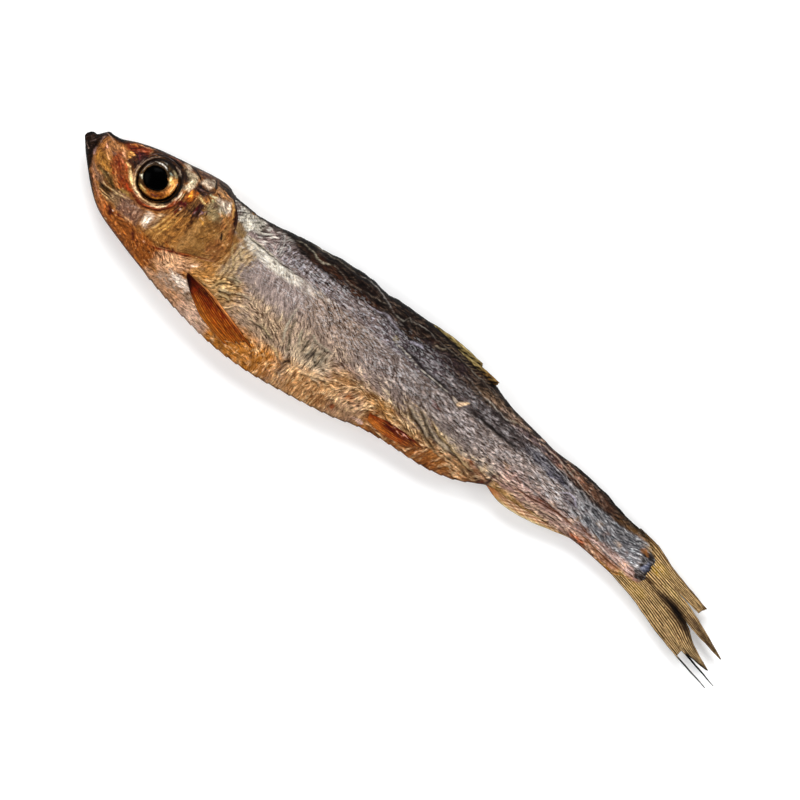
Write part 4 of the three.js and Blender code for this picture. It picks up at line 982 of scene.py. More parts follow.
    ((10.2, 4.9, 11.4, 5.3, 12.8, 5.5, 14.2, 5.5), 0.08, "#a06a5c", 0.75),
    ((10.8, 5.1, 12.4, 5.65, 14.0, 5.8), 0.07, "#3a1a18", 0.8),
    ((5.0, 2.7, 6.6, 3.6, 8.6, 4.4, 10.4, 5.15, 13.2, 5.9, 16.4, 6.6, 18.6, 7.0), 0.12, "#1a100f", 0.85),
    ((14.2, 5.7, 15.0, 5.5, 15.8, 5.4), 0.14, "#d5d0cc", 0.8),
    ((14.6, 6.15, 15.8, 6.0, 16.8, 5.6, 17.6, 5.1, 18.0, 4.7), 0.16, "#1d0f0d", 0.9),
    ((15.8, 6.3, 17.0, 6.5, 18.4, 6.8), 0.08, "#c9a796", 0.8),
    ((16.4, 6.0, 17.4, 6.2, 18.2, 6.4), 0.07, "#5a3a34", 0.8),
    ((18.2, 5.4, 18.8, 5.2, 19.6, 5.4), 0.09, "#efe6dc", 0.85),
    ((18.2, 6.0, 18.6, 5.6, 19.0, 5.8), 0.12, "#8a7c78", 0.7),
    ((18.8, 7.1, 19.2, 6.6, 19.6, 6.0, 19.9, 5.4), 0.14, "#15100f", 0.9),
    ((18.2, 7.0, 18.9, 6.7), 0.08, "#a59286", 0.8),
    ((19.6, 6.9, 20.6, 7.0, 21.6, 6.9), 0.08, "#8b7567", 0.8),
    ((19.8, 6.6, 21.0, 6.7, 22.2, 6.5), 0.07, "#2a201d", 0.85),
    ((20.0, 7.15, 21.2, 7.25, 22.2, 6.9), 0.1, "#120d0c", 0.85),
    ((20.2, 5.9, 21.2, 6.0, 22.2, 5.8, 23.2, 5.8), 0.1, "#dba676", 0.8),
    ((20.4, 5.6, 21.4, 5.5, 22.4, 5.5), 0.09, "#e2b47c", 0.8),
    ((20.2, 5.3, 21.0, 5.1, 21.6, 5.2), 0.09, "#3a2018", 0.85),
    ((19.9, 5.9, 20.0, 5.2, 20.3, 4.9), 0.1, "#2b1712", 0.8),
    ((19.6, 4.4, 20.0, 4.5, 20.4, 4.3), 0.12, "#d3dab8", 0.9),
    ((20.2, 3.9, 20.6, 4.1, 20.9, 3.8), 0.1, "#b9c29c", 0.9),
    ((19.8, 3.8, 20.1, 3.7), 0.08, "#4a4a28", 0.8),
    ((18.3, 3.1, 19.2, 3.2, 20.0, 3.0, 20.7, 3.1), 0.11, "#d3c591", 0.9),
    ((18.4, 3.5, 19.4, 3.5), 0.08, "#8c7a52", 0.8),
    # painted highlights on the white of the temple
    ((21.5, 4.7, 22.0, 4.6, 22.4, 4.4), 0.12, "#f6f1ee", 0.9),
    ((22.7, 5.2, 22.9, 4.8, 23.3, 4.4), 0.14, "#f8f4f2", 0.9),
    ((22.3, 4.9, 22.5, 4.4), 0.08, "#7c7470", 0.8),
    ((21.6, 4.2, 22.2, 3.9, 22.8, 4.0), 0.09, "#8f8b86", 0.8),
    ((22.0, 3.9, 22.4, 3.4, 22.9, 3.1), 0.08, "#d9d8ce", 0.8),
    ((23.0, 4.0, 23.3, 3.6), 0.1, "#a8b0b8", 0.8),
    ((21.9, 6.7, 23.1, 6.0, 23.9, 5.2, 24.5, 4.4, 25.1, 3.4, 25.5, 2.4), 0.27, "#38190f", 0.9),
    ((22.8, 5.8, 23.4, 5.2, 24.0, 4.4, 24.4, 3.6), 0.2, "#cda465", 0.9),
    ((23.2, 5.0, 23.8, 4.2, 24.3, 3.2), 0.08, "#7c4a28", 0.8),
    ((25.1, 2.9, 25.3, 2.2, 25.6, 1.6), 0.1, "#9a6440", 0.8),
    # throat below the gill cover
    ((20.9, -6.3, 21.3, -6.9, 21.1, -7.5), 0.22, "#dcc4aa", 0.6),
    ((20.0, -5.9, 20.1, -6.4), 0.12, "#5c3a1c", 0.7),
    ((26.2, -2.6, 26.7, -2.9), 0.12, "#d8b690", 0.7),
    ((23.8, -5.3, 24.4, -4.8, 25.0, -4.3), 0.12, "#f3ded6", 0.95),
    ((24.0, -4.7, 24.8, -4.1), 0.07, "#d9b9a8", 0.8),
    ((23.4, -5.8, 24.0, -5.4, 24.6, -5.0), 0.1, "#4d3220", 0.8),
    ((23.6, -4.9, 24.3, -4.3), 0.06, "#5b3c2c", 0.8),
]


def head_relief(x, y, seed):
    """Plates, rims and grooves of the head in mm, and its fine wrinkles from 0 to 1."""
    from_eye, turn = round_iris(x, y)
    below = sector(turn, -90, 115, 60)
    uneven = from_eye + 0.1 * rough(x / 1.1, y / 1.1, seed + 6)
    fine = rough(x / 0.55, y / 0.5, seed + 1)
    step = 0.3 * smooth(x, 14, 21) * (0.25 + 0.75 * smooth(y, 0.5, 3.5))
    form = (
        step
        + swelling(x, y, 10.5, -4.6, 3.4, 1.3, -0.35)
        - 1.5 * smooth(from_eye, 3.15, 2.85)
        + 0.24 * bell(uneven, 3.4, 0.25)
        + 0.26 * below * bell(uneven, 3.95, 0.28)
        - 0.12 * bell(uneven, 3.66, 0.11)
        + 0.3 * area(x, y, MAXILLA, 0.25)
        - 0.25 * stroke(x, y, (2.0, 1.1, 2.6, -1.0, 4.0, -3.1, 7.0, -4.5, 9.6, -5.2), 0.25, 0.1)
        - 0.3 * stroke(x, y, (19.8, 2.9, 20.2, -0.5, 20.5, -4.8), 0.4, 0.1)
        - 0.14 * stroke(x, y, (13, -6.5, 18.3, -6.2, 20.5, -5.2, 23, -4.0, 25.8, -2.7), 0.22, 0.1)
        + 0.16 * stroke(x, y, (5, 2.8, 9, 4.4, 12, 5.3, 15, 5.4, 17.4, 5.2), 0.3, 0.1)
        - 0.25 * stroke(x, y, (17.9, 3.6, 18.6, 4.5, 20.2, 4.6, 21.2, 4.0), 0.4, 0.1)
        - 0.2 * swelling(x, y, 19.2, 1.4, 1.0, 1.2, 1)
        - 0.12 * stroke(x, y, (23.2, 6.0, 24.3, 4.8, 25.3, 3.3), 0.3, 0.1)
        + 0.15 * swelling(x, y, 22.6, -0.8, 2.4, 2.6, 1)
    )
    snout = 1 - smooth(x, 2.4, 3.6)
    fan = np.degrees(np.arctan2(y - 7.5, x - 18.6))
    fan_part = area(x, y, (17.5, 1.5, 19.6, 1.5, 20.4, -5.4, 15.8, -5.6), 0.4)
    fan_lines = np.sin(np.radians(fan) * 75 + 2.5 * rough(x / 2, y / 2, seed + 7))
    form = (
        form
        + 0.06 * fine * (1 - 0.5 * smooth(x, 9, 12))
        + 0.18 * snout * streaks(x, y, 62, 0.8, 0.35, seed + 5)
        + 0.05 * fan_part * fan_lines
        + 0.07 * rough(x / 1.4, y / 1.2, seed + 8)
        + 0.05 * smooth(x, 20.5, 21.5) * rough(x / 0.3, y / 0.6, seed + 9)
    )
    return form, np.clip(0.5 + 0.5 * fine, 0, 1), fan_part * (0.5 + 0.5 * fan_lines)


def head_coat(x, y, fine, fan, crest, lee_shade, seed):
    """Colours of the head, and how far its strokes stand up or are sunk in mm."""
    wx = x + 0.3 * rough(x / 0.9, y / 0.9, seed + 30) + 0.3 * grain(x / 2.2, y / 2.2, seed + 39)
    wy = y + 0.3 * rough(x / 0.9, y / 0.9, seed + 31) + 0.3 * grain(x / 2.2, y / 2.2, seed + 40)
    sx = x + 0.12 * rough(x / 0.6, y / 0.6, seed + 35)
    sy = y + 0.12 * rough(x / 0.6, y / 0.6, seed + 36)
    fleck = rough(x / 0.4, y / 0.4, seed + 32)
    patchy = rough(x / 1.6, y / 1.6, seed + 33)
    from_eye, turn = round_iris(x, y)
    uneven = from_eye + 0.1 * rough(x / 1.1, y / 1.1, seed + 6)
    coat = Coat(x, y, "#9a6a3a", seed)
    for run, code, cover, soft in HEAD_PATCHES:
        coat.lay(code, area(wx, wy, run, soft) * cover)

    # grain of the dried bone, thin rods on the gill cover, and spots of fat
    rods = streaks(x, y, 86, 1.6, 0.24, seed + 37)
    plates = smooth(x, 17, 19) * span(y, -5.6, -4.6, 2.6, 3.4)
    gill_cover = plates * smooth(x, 19.5, 21)
    plates = plates - 0.7 * gill_cover
    coat.ripple(rods, 0.15, 0.6, ("#5c3814", 0.25), ("#cfa771", 0.25), plates)
    coat.lay("#b89660", gill_cover * smooth(patchy, 0.0, 0.6) * 0.5)
    coat.lay("#6b4720", gill_cover * smooth(-patchy, 0.1, 0.7) * 0.5)
    low = smooth(y, -5.5, -6.2)
    along_jaw = streaks(x, y, -22, 1.8, 0.22, seed + 38)
    coat.ripple(along_jaw, 0.15, 0.6, ("#6a3414", 0.5), ("#d99a5c", 0.45), low)
    coat.lay("#3c2010", smooth(-fleck, 0.25, 0.65) * 0.55)
    coat.lay("#e6cda4", smooth(fleck, 0.35, 0.75) * 0.4)
    coat.lay("#6e3216", smooth(patchy, 0.3, 0.8) * 0.35)
    fan = fan * smooth(x, 19.6, 17.6)
    coat.lay("#d6ac6c", smooth(fan, 0.6, 0.95) * 0.45)
    coat.lay("#5d3610", (fan > 0.01) * smooth(fan, 0.4, 0.1) * 0.45)

    # the black wrinkled snout with its dark notch, and painted grey highlights on its wrinkles
    snout = area(wx, wy, (0, 1.6, 2.6, 3.0, 3.1, 1.6, 2.8, 0.2, 3.2, -1.6, 4.0, -3.4, 2.4, -3.0, 0, -0.4),
                 0.25)
    coat.lay("#180e0c", snout * 0.95)
    coat.lay("#745a58", snout * smooth(streaks(x, y, 62, 0.8, 0.3, seed + 5), 0.25, 0.7) * 0.6)

    # rings of the socket, with black at its inner edge round the eyeball as painted shade of the gap
    low_front = sector(turn, -95, 120, 75)
    coat.lay("#181010", bell(uneven, 3.12, 0.2) * 0.9)
    coat.lay("#120b0a", sector(turn, 5, 60, 35) * bell(uneven, 3.25, 0.24))
    coat.lay("#d3c8b2", sector(turn, 0, 50, 25) * bell(uneven, 3.6, 0.08) * (0.8 + 0.5 * fleck))
    coat.lay("#30201c", sector(turn, 90, 80, 50) * bell(uneven, 3.45, 0.42) * 0.95)
    coat.lay("#3c2420", sector(turn, 180, 60, 30) * bell(uneven, 3.5, 0.36) * 0.8)
    coat.lay("#a3958c", sector(turn, 170, 60, 30) * bell(uneven, 3.35, 0.07) * 0.7)
    coat.lay("#ecdcb6", low_front * bell(uneven, 3.4, 0.1) * (0.7 + 0.5 * fleck))
    coat.lay("#6b3320", low_front * bell(uneven, 3.58, 0.08) * 0.8)
    coat.lay("#cbb79e", low_front * bell(uneven, 3.7, 0.07) * 0.6)
    rust = sector(turn, -55, 80, 45)
    coat.lay("#6e2a15", rust * bell(uneven, 3.98, 0.27))
    coat.lay("#a4552f", rust * bell(uneven, 3.88, 0.09) * (0.7 + 0.6 * fleck))
    coat.lay("#5a1d10", rust * bell(uneven, 4.22, 0.09) * 0.7)
    coat.lay("#9a4f2c", sector(turn, -12, 30, 10) * bell(uneven, 3.85, 0.27) * 0.8)
    coat.lay("#120c0b", smooth(from_eye, 3.02, 2.85))

    sunk = np.zeros(len(x))
    for run, width, code, cover in HEAD_STROKES:
        here = stroke(sx, sy, run, width)
        coat.lay(code, here * cover * 1.1, 2.2)
        sunk += here * cover * (sum(linear(code)) / 3 - 0.2) * 0.22
    # the outline is painted dark, as painted shade where the skin turns under
    rim = np.minimum(back_line(x) - y, y - belly_line(x))
    coat.shade(1 - 0.6 * smooth(rim, 0.35, 0.05))
    # painted highlight on the crests of the small wrinkles, painted shade in their lee, then random tone
    # with painted light and shade on the fine relief
    coat.shade(1 - 0.6 * lee_shade + 0.7 * crest)
    coat.shade(1 + 0.3 * fleck + 0.25 * (fine - 0.5))
    # browner all over, and darker towards the crown
    coat.colour *= np.array(linear("#d8c8b4"))
    coat.shade(1 - 0.38 * smooth(y, 4.5, 6.5))
    # the oil makes dark places darker and leaves dry ones pale
    light = coat.colour.mean(axis=1)
    coat.shade((np.maximum(light, 0.004) / HEAD_MID_TONE) ** 0.3)
    return coat.colour, np.clip(sunk, -0.12, 0.14)


# Making pieces
def deselect():
    """Leaves edit mode and selects nothing."""
    if bpy.context.mode != "OBJECT":
        bpy.ops.object.mode_set(mode="OBJECT")
    bpy.ops.object.select_all(action="DESELECT")


def signed_volume(piece):
    """The volume inside a closed piece, below zero where its faces look inwards."""
    mesh = piece.data
    mesh.calc_loop_triangles()
    corners = np.empty(len(mesh.loop_triangles) * 3, np.int32)
    mesh.loop_triangles.foreach_get("vertices", corners)
    flat = np.empty(len(mesh.vertices) * 3)
    mesh.vertices.foreach_get("co", flat)
    a, b, c = flat.reshape(-1, 3)[corners].reshape(-1, 3, 3).transpose(1, 0, 2)
    return float(np.sum(a * np.cross(b, c)) / 6)


def close_up(piece):
    """Merges the seams and poles of a piece, turns its faces outwards and smooths it."""
    deselect()
    piece.select_set(True)
    bpy.context.view_layer.objects.active = piece
    bpy.ops.object.mode_set(mode="EDIT")
    bpy.ops.mesh.select_all(action="SELECT")
    bpy.ops.mesh.remove_doubles(threshold=1e-6)
    bpy.ops.object.mode_set(mode="OBJECT")
    if signed_volume(piece) < 0:
        bpy.ops.object.mode_set(mode="EDIT")
        bpy.ops.mesh.select_all(action="SELECT")
        bpy.ops.mesh.flip_normals()
        bpy.ops.object.mode_set(mode="OBJECT")
    bpy.ops.object.shade_smooth()
    return piece


def store(piece, **layers):
    """Keeps layers of numbers for the vertices of a piece, with one or three numbers for each."""
    for name, values in layers.items():
        values = np.asarray(values, np.float32)
        if values.ndim == 2:
            layer = piece.data.attributes.new(name, "FLOAT_COLOR", "POINT")
            full = np.ones((len(values), 4), np.float32)
            full[:, :3] = np.clip(values, 0, 1)
            layer.data.foreach_set("color", full.ravel())
        else:
            layer = piece.data.attributes.new(name, "FLOAT", "POINT")
            layer.data.foreach_set("value", values)


def sheet_of_cells(name, along, round_cells):
    """A grid of cells, with the share of each vertex along it and round it."""
    deselect()
    bpy.ops.mesh.primitive_grid_add(x_subdivisions=along, y_subdivisions=round_cells, size=2)
    piece = bpy.context.object
    piece.name = piece.data.name = name
    flat = np.empty(len(piece.data.vertices) * 3)
    piece.data.vertices.foreach_get("co", flat)
    flat = flat.reshape(-1, 3)
    return piece, (flat[:, 0] + 1) / 2, (flat[:, 1] + 1) / 2


def put(piece, x, y, z):
    """Moves the vertices of a piece to places in the fish's frame."""
    piece.data.vertices.foreach_set("co", place(x, y, z).ravel())
    piece.data.update()


def around(share, left_cells, right_cells):
    """Height share and side of each place round the section, from the keel over the left flank."""
    cell = share * (left_cells + right_cells)
    on_left = cell <= left_cells + 1e-6
    run = np.where(on_left, cell / left_cells, (left_cells + right_cells - cell) / right_cells)
    h = 0.55 * (0.5 - 0.5 * np.cos(math.pi * run)) + 0.45 * run
    return np.clip(h, 0, 1), np.where(on_left, 1.0, -1.0)


# The left flank shows, so it has more small wrinkles than the right one. Seeds tell them apart.
LEFT_SEED, RIGHT_SEED = 1, 101


def both_sides(side, work):
    """Calls work(which vertices, seed) for the left flank and for the right one."""
    work(side > 0, LEFT_SEED)
    work(side < 0, RIGHT_SEED)


TRUNK_FRONT_X = 9.0
TRUNK_CELLS = (630, 124, 30)


def trunk_end(h):
    """Where the scaly skin gives way to the tail fin, at each height."""
    return 99.0 + 3.5 * span(h, 0.02, 0.28, 0.74, 1.0) + 0.25 * grain(h * 11, h * 0 + 0.3, 5)


def make_trunk():
    """The skin of both flanks, from inside the head to the root of the tail."""
    along, left, right = TRUNK_CELLS
    piece, share, ring = sheet_of_cells("trunk_skin", along, left + right)
    h, side = around(ring, left, right)
    skin_share = np.clip(share * along - 1, 0, along - 2) / (along - 2)
    x = TRUNK_FRONT_X + (trunk_end(h) - TRUNK_FRONT_X) * skin_share
    y = y_at(x, h)
    out, shine, silver, crumple = np.zeros((4, len(x)))
    coat, flow = np.zeros((len(x), 3)), np.zeros((len(x), 6))

    def work(on, seed):
        px, py = x[on], y[on]
        form, fine = trunk_relief(px, py, seed)
        short_ones, long_ones = (1300, 260) if seed == LEFT_SEED else (300, 60)
        crinkles = make_crinkles(short_ones, seed, 26, 101)
        crinkles += make_crinkles(long_ones, seed + 7, 48, 98, 4.5, 0.2)
        crest, lee_shade = crests(px, py, crinkles)
        fade = span(h[on], 0, 0.12, 0.88, 1)
        folds, strength = vent_folds(px, py, seed)
        relief = (form + 0.07 * folds * strength) * (1 - smooth(h[on], 0.03, 0))
        out[on] = relief + (large_forms(px, py) + wrinkle_relief(px, py) + 0.08 * crest - 0.05 * lee_shade) * fade
        coat[on] = trunk_coat(px, py, fine, crest, lee_shade, seed)
        flow[on] = grain_shares(px, py)
        scaly = smooth(py, -1.5, 1.0) * smooth(px, 28, 32) * smooth(back_line(px) - py, 2.2, 3.6)
        shine[on] = 0.4 + 0.3 * scaly + 0.4 * smooth(py, -4, -6)
        drawn = np.clip(np.abs(wrinkle_relief(px, py)) / 0.1, 0, 1)
        on_belly = smooth(py, belly_line(px) + 3, belly_line(px) + 1.5)
        calm = smooth(px, 44, 37) * span(py, -3.5, -1.5, 3.6, 4.2)
        stalk = smooth(px, 86, 90) * smooth(py, 0.6, 1.6)
        uneven = 1 + 0.35 * rough(px / 2.6, py / 1.5, seed + 50)
        crumple[on] = (1 - 0.45 * calm - 0.3 * on_belly - 0.6 * stalk) * (1 - 0.7 * drawn) * uneven
        rubbed = smooth(px, 56, 66)
        silver[on] = scaly * (0.4 + 0.6 * fine) * (1 - drawn) * (1 - 0.65 * rubbed - 0.3 * stalk)

    both_sides(side, work)
    y, z = section(x, h, side, out)
    # under the head the trunk draws in, so that the gill cover stands free of it
    behind = x - gill_edge(y)
    draw_in = 1 - 0.04 * smooth(behind, 0.1, -0.8) - 0.5 * smooth(behind, -1.2, -8)
    # and it thins to the tail's fin
    thin = 1 - 0.45 * smooth(x - trunk_end(h), -1.2, 0)
    ends = (share * along < 0.5) | (share * along > along - 0.5)
    x = np.where(share * along > along - 0.5, 99.5, x)
    middle_y = (belly_line(x) + back_line(x)) / 2
    y = middle_y + (y - middle_y) * np.where(ends, 0, draw_in)
    z = mid_height(x) + (z - mid_height(x)) * np.where(ends, 0, draw_in * thin)
    put(piece, x, y, z)
    store(piece, coat=coat, flow_a=flow[:, :3], flow_b=flow[:, 3:], shine=shine, silver=silver,
          crumple=crumple)
    return close_up(piece)


# Head: from the snout to the free edge of the gill cover, whose edge turns in over four cells.
HEAD_CELLS = (250, 160, 60)
EDGE_TURN = [(0.1, 0.12), (0.02, 0.34), (-1.5, 0.8)]


def make_head():
    """The skin of the head, closed behind the free edge of the gill cover."""
    along, left, right = HEAD_CELLS
    piece, share, ring = sheet_of_cells("head_skin", along + len(EDGE_TURN) + 2, left + right)
    h, side = around(ring, left, right)
    low, high = np.full(len(h), 10.0), np.full(len(h), 28.0)
    for _ in range(30):
        guess = (low + high) / 2
        y = y_at(guess, h)
        behind = guess > gill_edge(y) + 0.15 * grain(y / 0.8, y * 0 + 0.5, 4)
        low, high = np.where(behind, low, guess), np.where(behind, guess, high)
    last_x = (low + high) / 2
    column = share * (along + len(EDGE_TURN) + 2) - 1
    x = SNOUT_X + (last_x - SNOUT_X) * np.clip(column / along, 0, 1)
    inward = np.zeros(len(x))
    for k, (further, deeper) in enumerate(EDGE_TURN):
        beyond = np.abs(column - along - k - 1) < 0.5
        x = np.where(beyond, last_x + further, x)
        inward = np.where(beyond, deeper, inward)
    y = y_at(x, h)
    out = np.zeros(len(x))
    coat, flow = np.zeros((len(x), 3)), np.zeros((len(x), 6))

    def work(on, seed):
        form, fine, fan = head_relief(x[on], y[on], seed)
        count = 500 if seed == LEFT_SEED else 150
        crest, lee_shade = crests(x[on], y[on], make_crinkles(count, seed + 3, 3, 26))
        colour, sunk = head_coat(x[on], y[on], fine, fan, crest, lee_shade, seed)
        flow[on] = grain_shares(x[on], y[on])
        fade = span(h[on], 0, 0.1, 0.9, 1)
        rim = 0.05 * (1 - fade) * (fine - 0.5) * smooth(h[on], 0, 0.03)
        out[on] = (form + sunk + 0.05 * crest - 0.03 * lee_shade) * fade + rim
        coat[on] = colour

    both_sides(side, work)
    y, z = section(x, h, side, out - inward)
    ends = (column < -0.5) | (column > along + len(EDGE_TURN) + 0.5)
    x = np.where(column < -0.5, SNOUT_X - 0.05, np.where(ends, 20, x))
    y = np.where(column < -0.5, 0, np.where(ends, -1.5, y))
    z = np.where(ends, mid_height(x), z)
    put(piece, x, y, z)
    shine = 0.75 + 0.25 * rough(x / 1.5, y / 1.5, 91)
    gill_cover = smooth(x, 19.5, 21.5) * span(y, -5, -3.5, 2.5, 3.8)
    crumple = (0.55 + 0.25 * rough(x / 2.0, y / 2.0, 92)) * (1 - 0.55 * gill_cover)
    store(piece, coat=coat, flow_a=flow[:, :3], flow_b=flow[:, 3:], shine=shine, crumple=crumple)
    return close_up(piece)


# Fins
CELLS_PER_RAY = 5


def make_fin(name, upper, lower, rays, along, lie, thickness, coat_of, ribs, seed, frayed=0.02, root=0.03):
    """A folded fin: a thin ribbed leaf between two edges, torn at its end.

    lie(x, y) is the height of its middle, and thickness is at the root and at the tip. Over the
    share root of its length it rises out of the skin.
    """
    piece, share, ring = sheet_of_cells(name, along, 2 * CELLS_PER_RAY * rays)
    on_top = ring <= 0.5 + 1e-9
    s = np.round(np.where(on_top, 2 * ring, 2 - 2 * ring), 6)
    ray = np.floor(np.clip(s * rays, 0, rays - 1e-6)) + 0.5
    short = frayed * (0.5 + 0.5 * grain(ray * 3.7, ray * 0 + 0.4, seed))
    t = share * (1 - short)
    (upper_x, upper_y), (lower_x, lower_y) = follow_path(upper, t), follow_path(lower, t)
    x = upper_x * (1 - s) + lower_x * s
    y = upper_y * (1 - s) + lower_y * s
    wobble = 0.12 * grain(x / 1.5, ray * 5.3, seed + 1) * smooth(t, 0, 0.3)
    y = y + 0.4 * wobble
    rib = 0.5 + 0.5 * np.cos(2 * math.pi * (s * rays - 0.5))
    half = (thickness[0] + (thickness[1] - thickness[0]) * t) / 2
    rim = np.sqrt(np.clip(1 - (2 * s - 1) ** 8, 0, 1)) * smooth(share, 0, root) * smooth(share, 1, 0.985)
    z = lie(x, y) + wobble + np.where(on_top, 1, -1) * (half + ribs * (rib - 0.5)) * rim
    put(piece, x, y, np.maximum(z, 0))
    tone = grain(ray * 2.9 + 0.3, x / 5, seed + 2)
    colour, shine = coat_of(x, y, s, t, rib, tone, seed)
    edge = np.minimum(s, 1 - s) * np.hypot(upper_x - lower_x, upper_y - lower_y)
    # the fin is painted darker near its edges, as painted shade, most towards the root
    painted_edge_shade = 1 - 0.5 * smooth(edge, 0.2, 0.03) * (1 - 0.7 * t)
    store(piece, coat=colour * painted_edge_shade[:, None], shine=shine)
    return close_up(piece)


def tail_coat(x, y, s, t, rib, tone, seed):
    """Colours and shine of the tail: pale brown rays, yellow at the root, with a black band."""
    fleck = rough(x / 0.4, y / 0.25, seed + 40)
    long_lines = streaks(x, y, -14, 4, 0.22, seed + 41)
    joints = streaks(x, y, 74, 0.9, 0.2, seed + 42)
    coat = Coat(x, y, "#825e34", seed)
    coat.lay("#7a5a26", smooth(x, 104, 100))
    coat.lay("#8a6c46", smooth(x, 107, 113) * smooth(y, 0.5, 1.5) * 0.6)
    coat.lay("#6a4f36", smooth(x, 110, 114))
    coat.lay("#5c3f26", area(x, y, (101.5, 6.2, 108, 4.6, 112.4, 3.4, 112, 2.6, 107, 3.8, 101.5, 4.6),
                             0.5) * 0.5)
    coat.lay("#4c3626", stroke(x, y, (108.5, 1.9, 112, 0.9, 116, -0.4, 118.4, -1.1), 0.8, 0.3) * 0.6)
    coat.lay("#bd942c", spot(x, y, 103.4, 3.3, 1.9, 1.0))
    coat.lay("#b08a30", spot(x, y, 102.8, -1.0, 2.0, 0.8) * 0.9)
    coat.lay("#b39a52", spot(x, y, 107, 1.8, 2.4, 0.6, -14) * 0.7)
    coat.lay("#8f6744", spot(x, y, 110.5, -3.0, 4, 1.0, -14) * 0.6)
    coat.ripple(tone, 0.1, 0.6, ("#dcb878", 0.6), ("#472e1a", 0.65), ragged=0.5)
    coat.lay("#6e4430", smooth(x, 109.5, 112) * span(y, -3.0, -2.4, 1.6, 2.2) * 0.6)
    coat.lay("#cba977", smooth(rib, 0.45, 0.85) * smooth(joints, 0.7, 0.1), 0.3)
    coat.lay("#160c05", smooth(rib, 0.5, 0.15), 0.3)
    coat.lay("#33210f", smooth(joints, 0.35, 0.7) * 0.5, 0.5)
    coat.lay("#3a2412", smooth(long_lines, 0.3, 0.7) * 0.5, 0.5)
    coat.lay("#32200f", smooth(x, 102.5, 99) * smooth(y, 3.6, 4.6) * 0.85)
    coat.lay("#3a2412", spot(x, y, 103.2, 1.2, 1.1, 0.35) * 0.8)
    band = (103.4, 0.9, 106, 0.75, 108.2, 0.45, 110.6, -0.3, 112.6, -1.3, 114.6, -2.3)
    coat.lay("#3a2415", stroke(x, y, band, 0.85, 0.5), 1.2)
    coat.lay("#100906", stroke(x, y, band, 0.6, 0.6) * (1.3 + 0.3 * fleck), 0.6)
    coat.lay("#3a281c", stroke(x, y, (109.4, 1.3, 113, 0.3, 116.4, -0.7, 118.4, -1.1), 0.4) * 0.85)
    coat.lay("#54402c", smooth(x, 111.2, 112.2) * smooth(y, 1.6, 2.0) * 0.8)
    coat.lay("#5a4228", stroke(x, y, (99, 6.2, 104, 5, 108, 4.1, 112.4, 3.2), 0.25, 0.05) * 0.8)
    coat.lay("#060404", smooth(x, 113.4, 114) * smooth(y, -3.3, -3.6))
    coat.lay("#2a231c", smooth(x, 112.9, 113.6) * smooth(y, -4.5, -4.7) * 0.9)
    coat.shade((0.95 + 0.2 * fleck) * (0.97 + 0.12 * smooth(y, -1, 2)))
    return coat.colour, np.full(len(x), 0.35)


def breast_fin_coat(x, y, s, t, rib, tone, seed):
    """Colours and shine of a breast fin: dark red at the root, orange to the tip."""
    fleck = rough(x / 0.6, y / 0.25, seed + 40)
    lines = streaks(x, y, -24, 3, 0.16, seed + 41)
    coat = Coat(x, y, "#7d2406", seed)
    coat.lay("#250805", smooth(t, 0.3, 0.02))
    coat.lay("#571103", smooth(t, 0.75, 0.3) * smooth(s, 0.75, 0.35) * 0.8)
    coat.lay("#a3490b", smooth(t, 0.35, 0.85) * smooth(s, 0.2, 0.6))
    coat.lay("#bd7426", smooth(s, 0.5, 0.95) * smooth(t, 0.2, 0.5) * 0.6)
    coat.lay("#ab5e1b", smooth(t, 0.7, 1.0) * 0.8)
    coat.lay("#35100a", span(t, 0.05, 0.25, 0.3, 0.7) * smooth(s, 0.5, 0.2) * 0.6)
    coat.lay("#f2a05a", smooth(s, 0.14, 0.06) * span(t, 0.02, 0.15, 0.5, 0.9), 0.5)
    coat.lay("#b5691f", smooth(tone, 0.1, 0.7) * 0.35 * smooth(t, 0.1, 0.4))
    coat.lay("#421104", smooth(-tone, 0.0, 0.6) * 0.5)
    coat.lay("#c66d21", smooth(rib, 0.7, 1.0) * smooth(lines, -0.3, 0.3) * 0.65 * smooth(t, 0.08, 0.4))
    coat.lay("#2a0b03", smooth(rib, 0.4, 0.05) * 0.7)
    coat.lay("#2c0c08", spot(x, y, 25.4, -7.3, 1.5, 0.5, -48) * 0.8)
    for cx, cy in ((24.9, -7.4), (25.6, -7.9), (26.3, -8.4)):
        coat.lay("#c9a888", spot(x, y, cx, cy, 0.16, 0.1, -40) * 0.6)
    coat.shade((0.82 + 0.25 * fleck + 0.15 * lines) * (1 - 0.35 * smooth(t, 0.35, 0.05)))
    return coat.colour, np.full(len(x), 0.9)


def belly_fin_coat(x, y, s, t, rib, tone, seed):
    """Colours and shine of a belly fin: reddish brown."""
    fleck = rough(x / 0.6, y / 0.3, seed + 40)
    lines = streaks(x, y, 8, 2, 0.16, seed + 41)
    coat = Coat(x, y, "#85380f", seed)
    coat.lay("#ac5f21", smooth(s, 0.3, 0.7) * smooth(t, 0.7, 0.3))
    coat.lay("#450a06", smooth(s, 0.75, 0.35) * smooth(t, 0.15, 0.4))
    coat.lay("#7c4a24", smooth(t, 0.75, 1))
    coat.lay("#cb7b37", smooth(rib, 0.7, 1.0) * smooth(lines, -0.2, 0.4) * 0.6)
    coat.lay("#3c1408", smooth(rib, 0.35, 0.05) * 0.7)
    coat.lay("#d99a84", spot(x, y, 62.3, -4.8, 1.6, 0.35) * smooth(fleck, 0.1, 0.5) * 0.8)
    coat.shade(1 + 0.35 * fleck + 0.2 * lines)
    return coat.colour, np.full(len(x), 0.9)


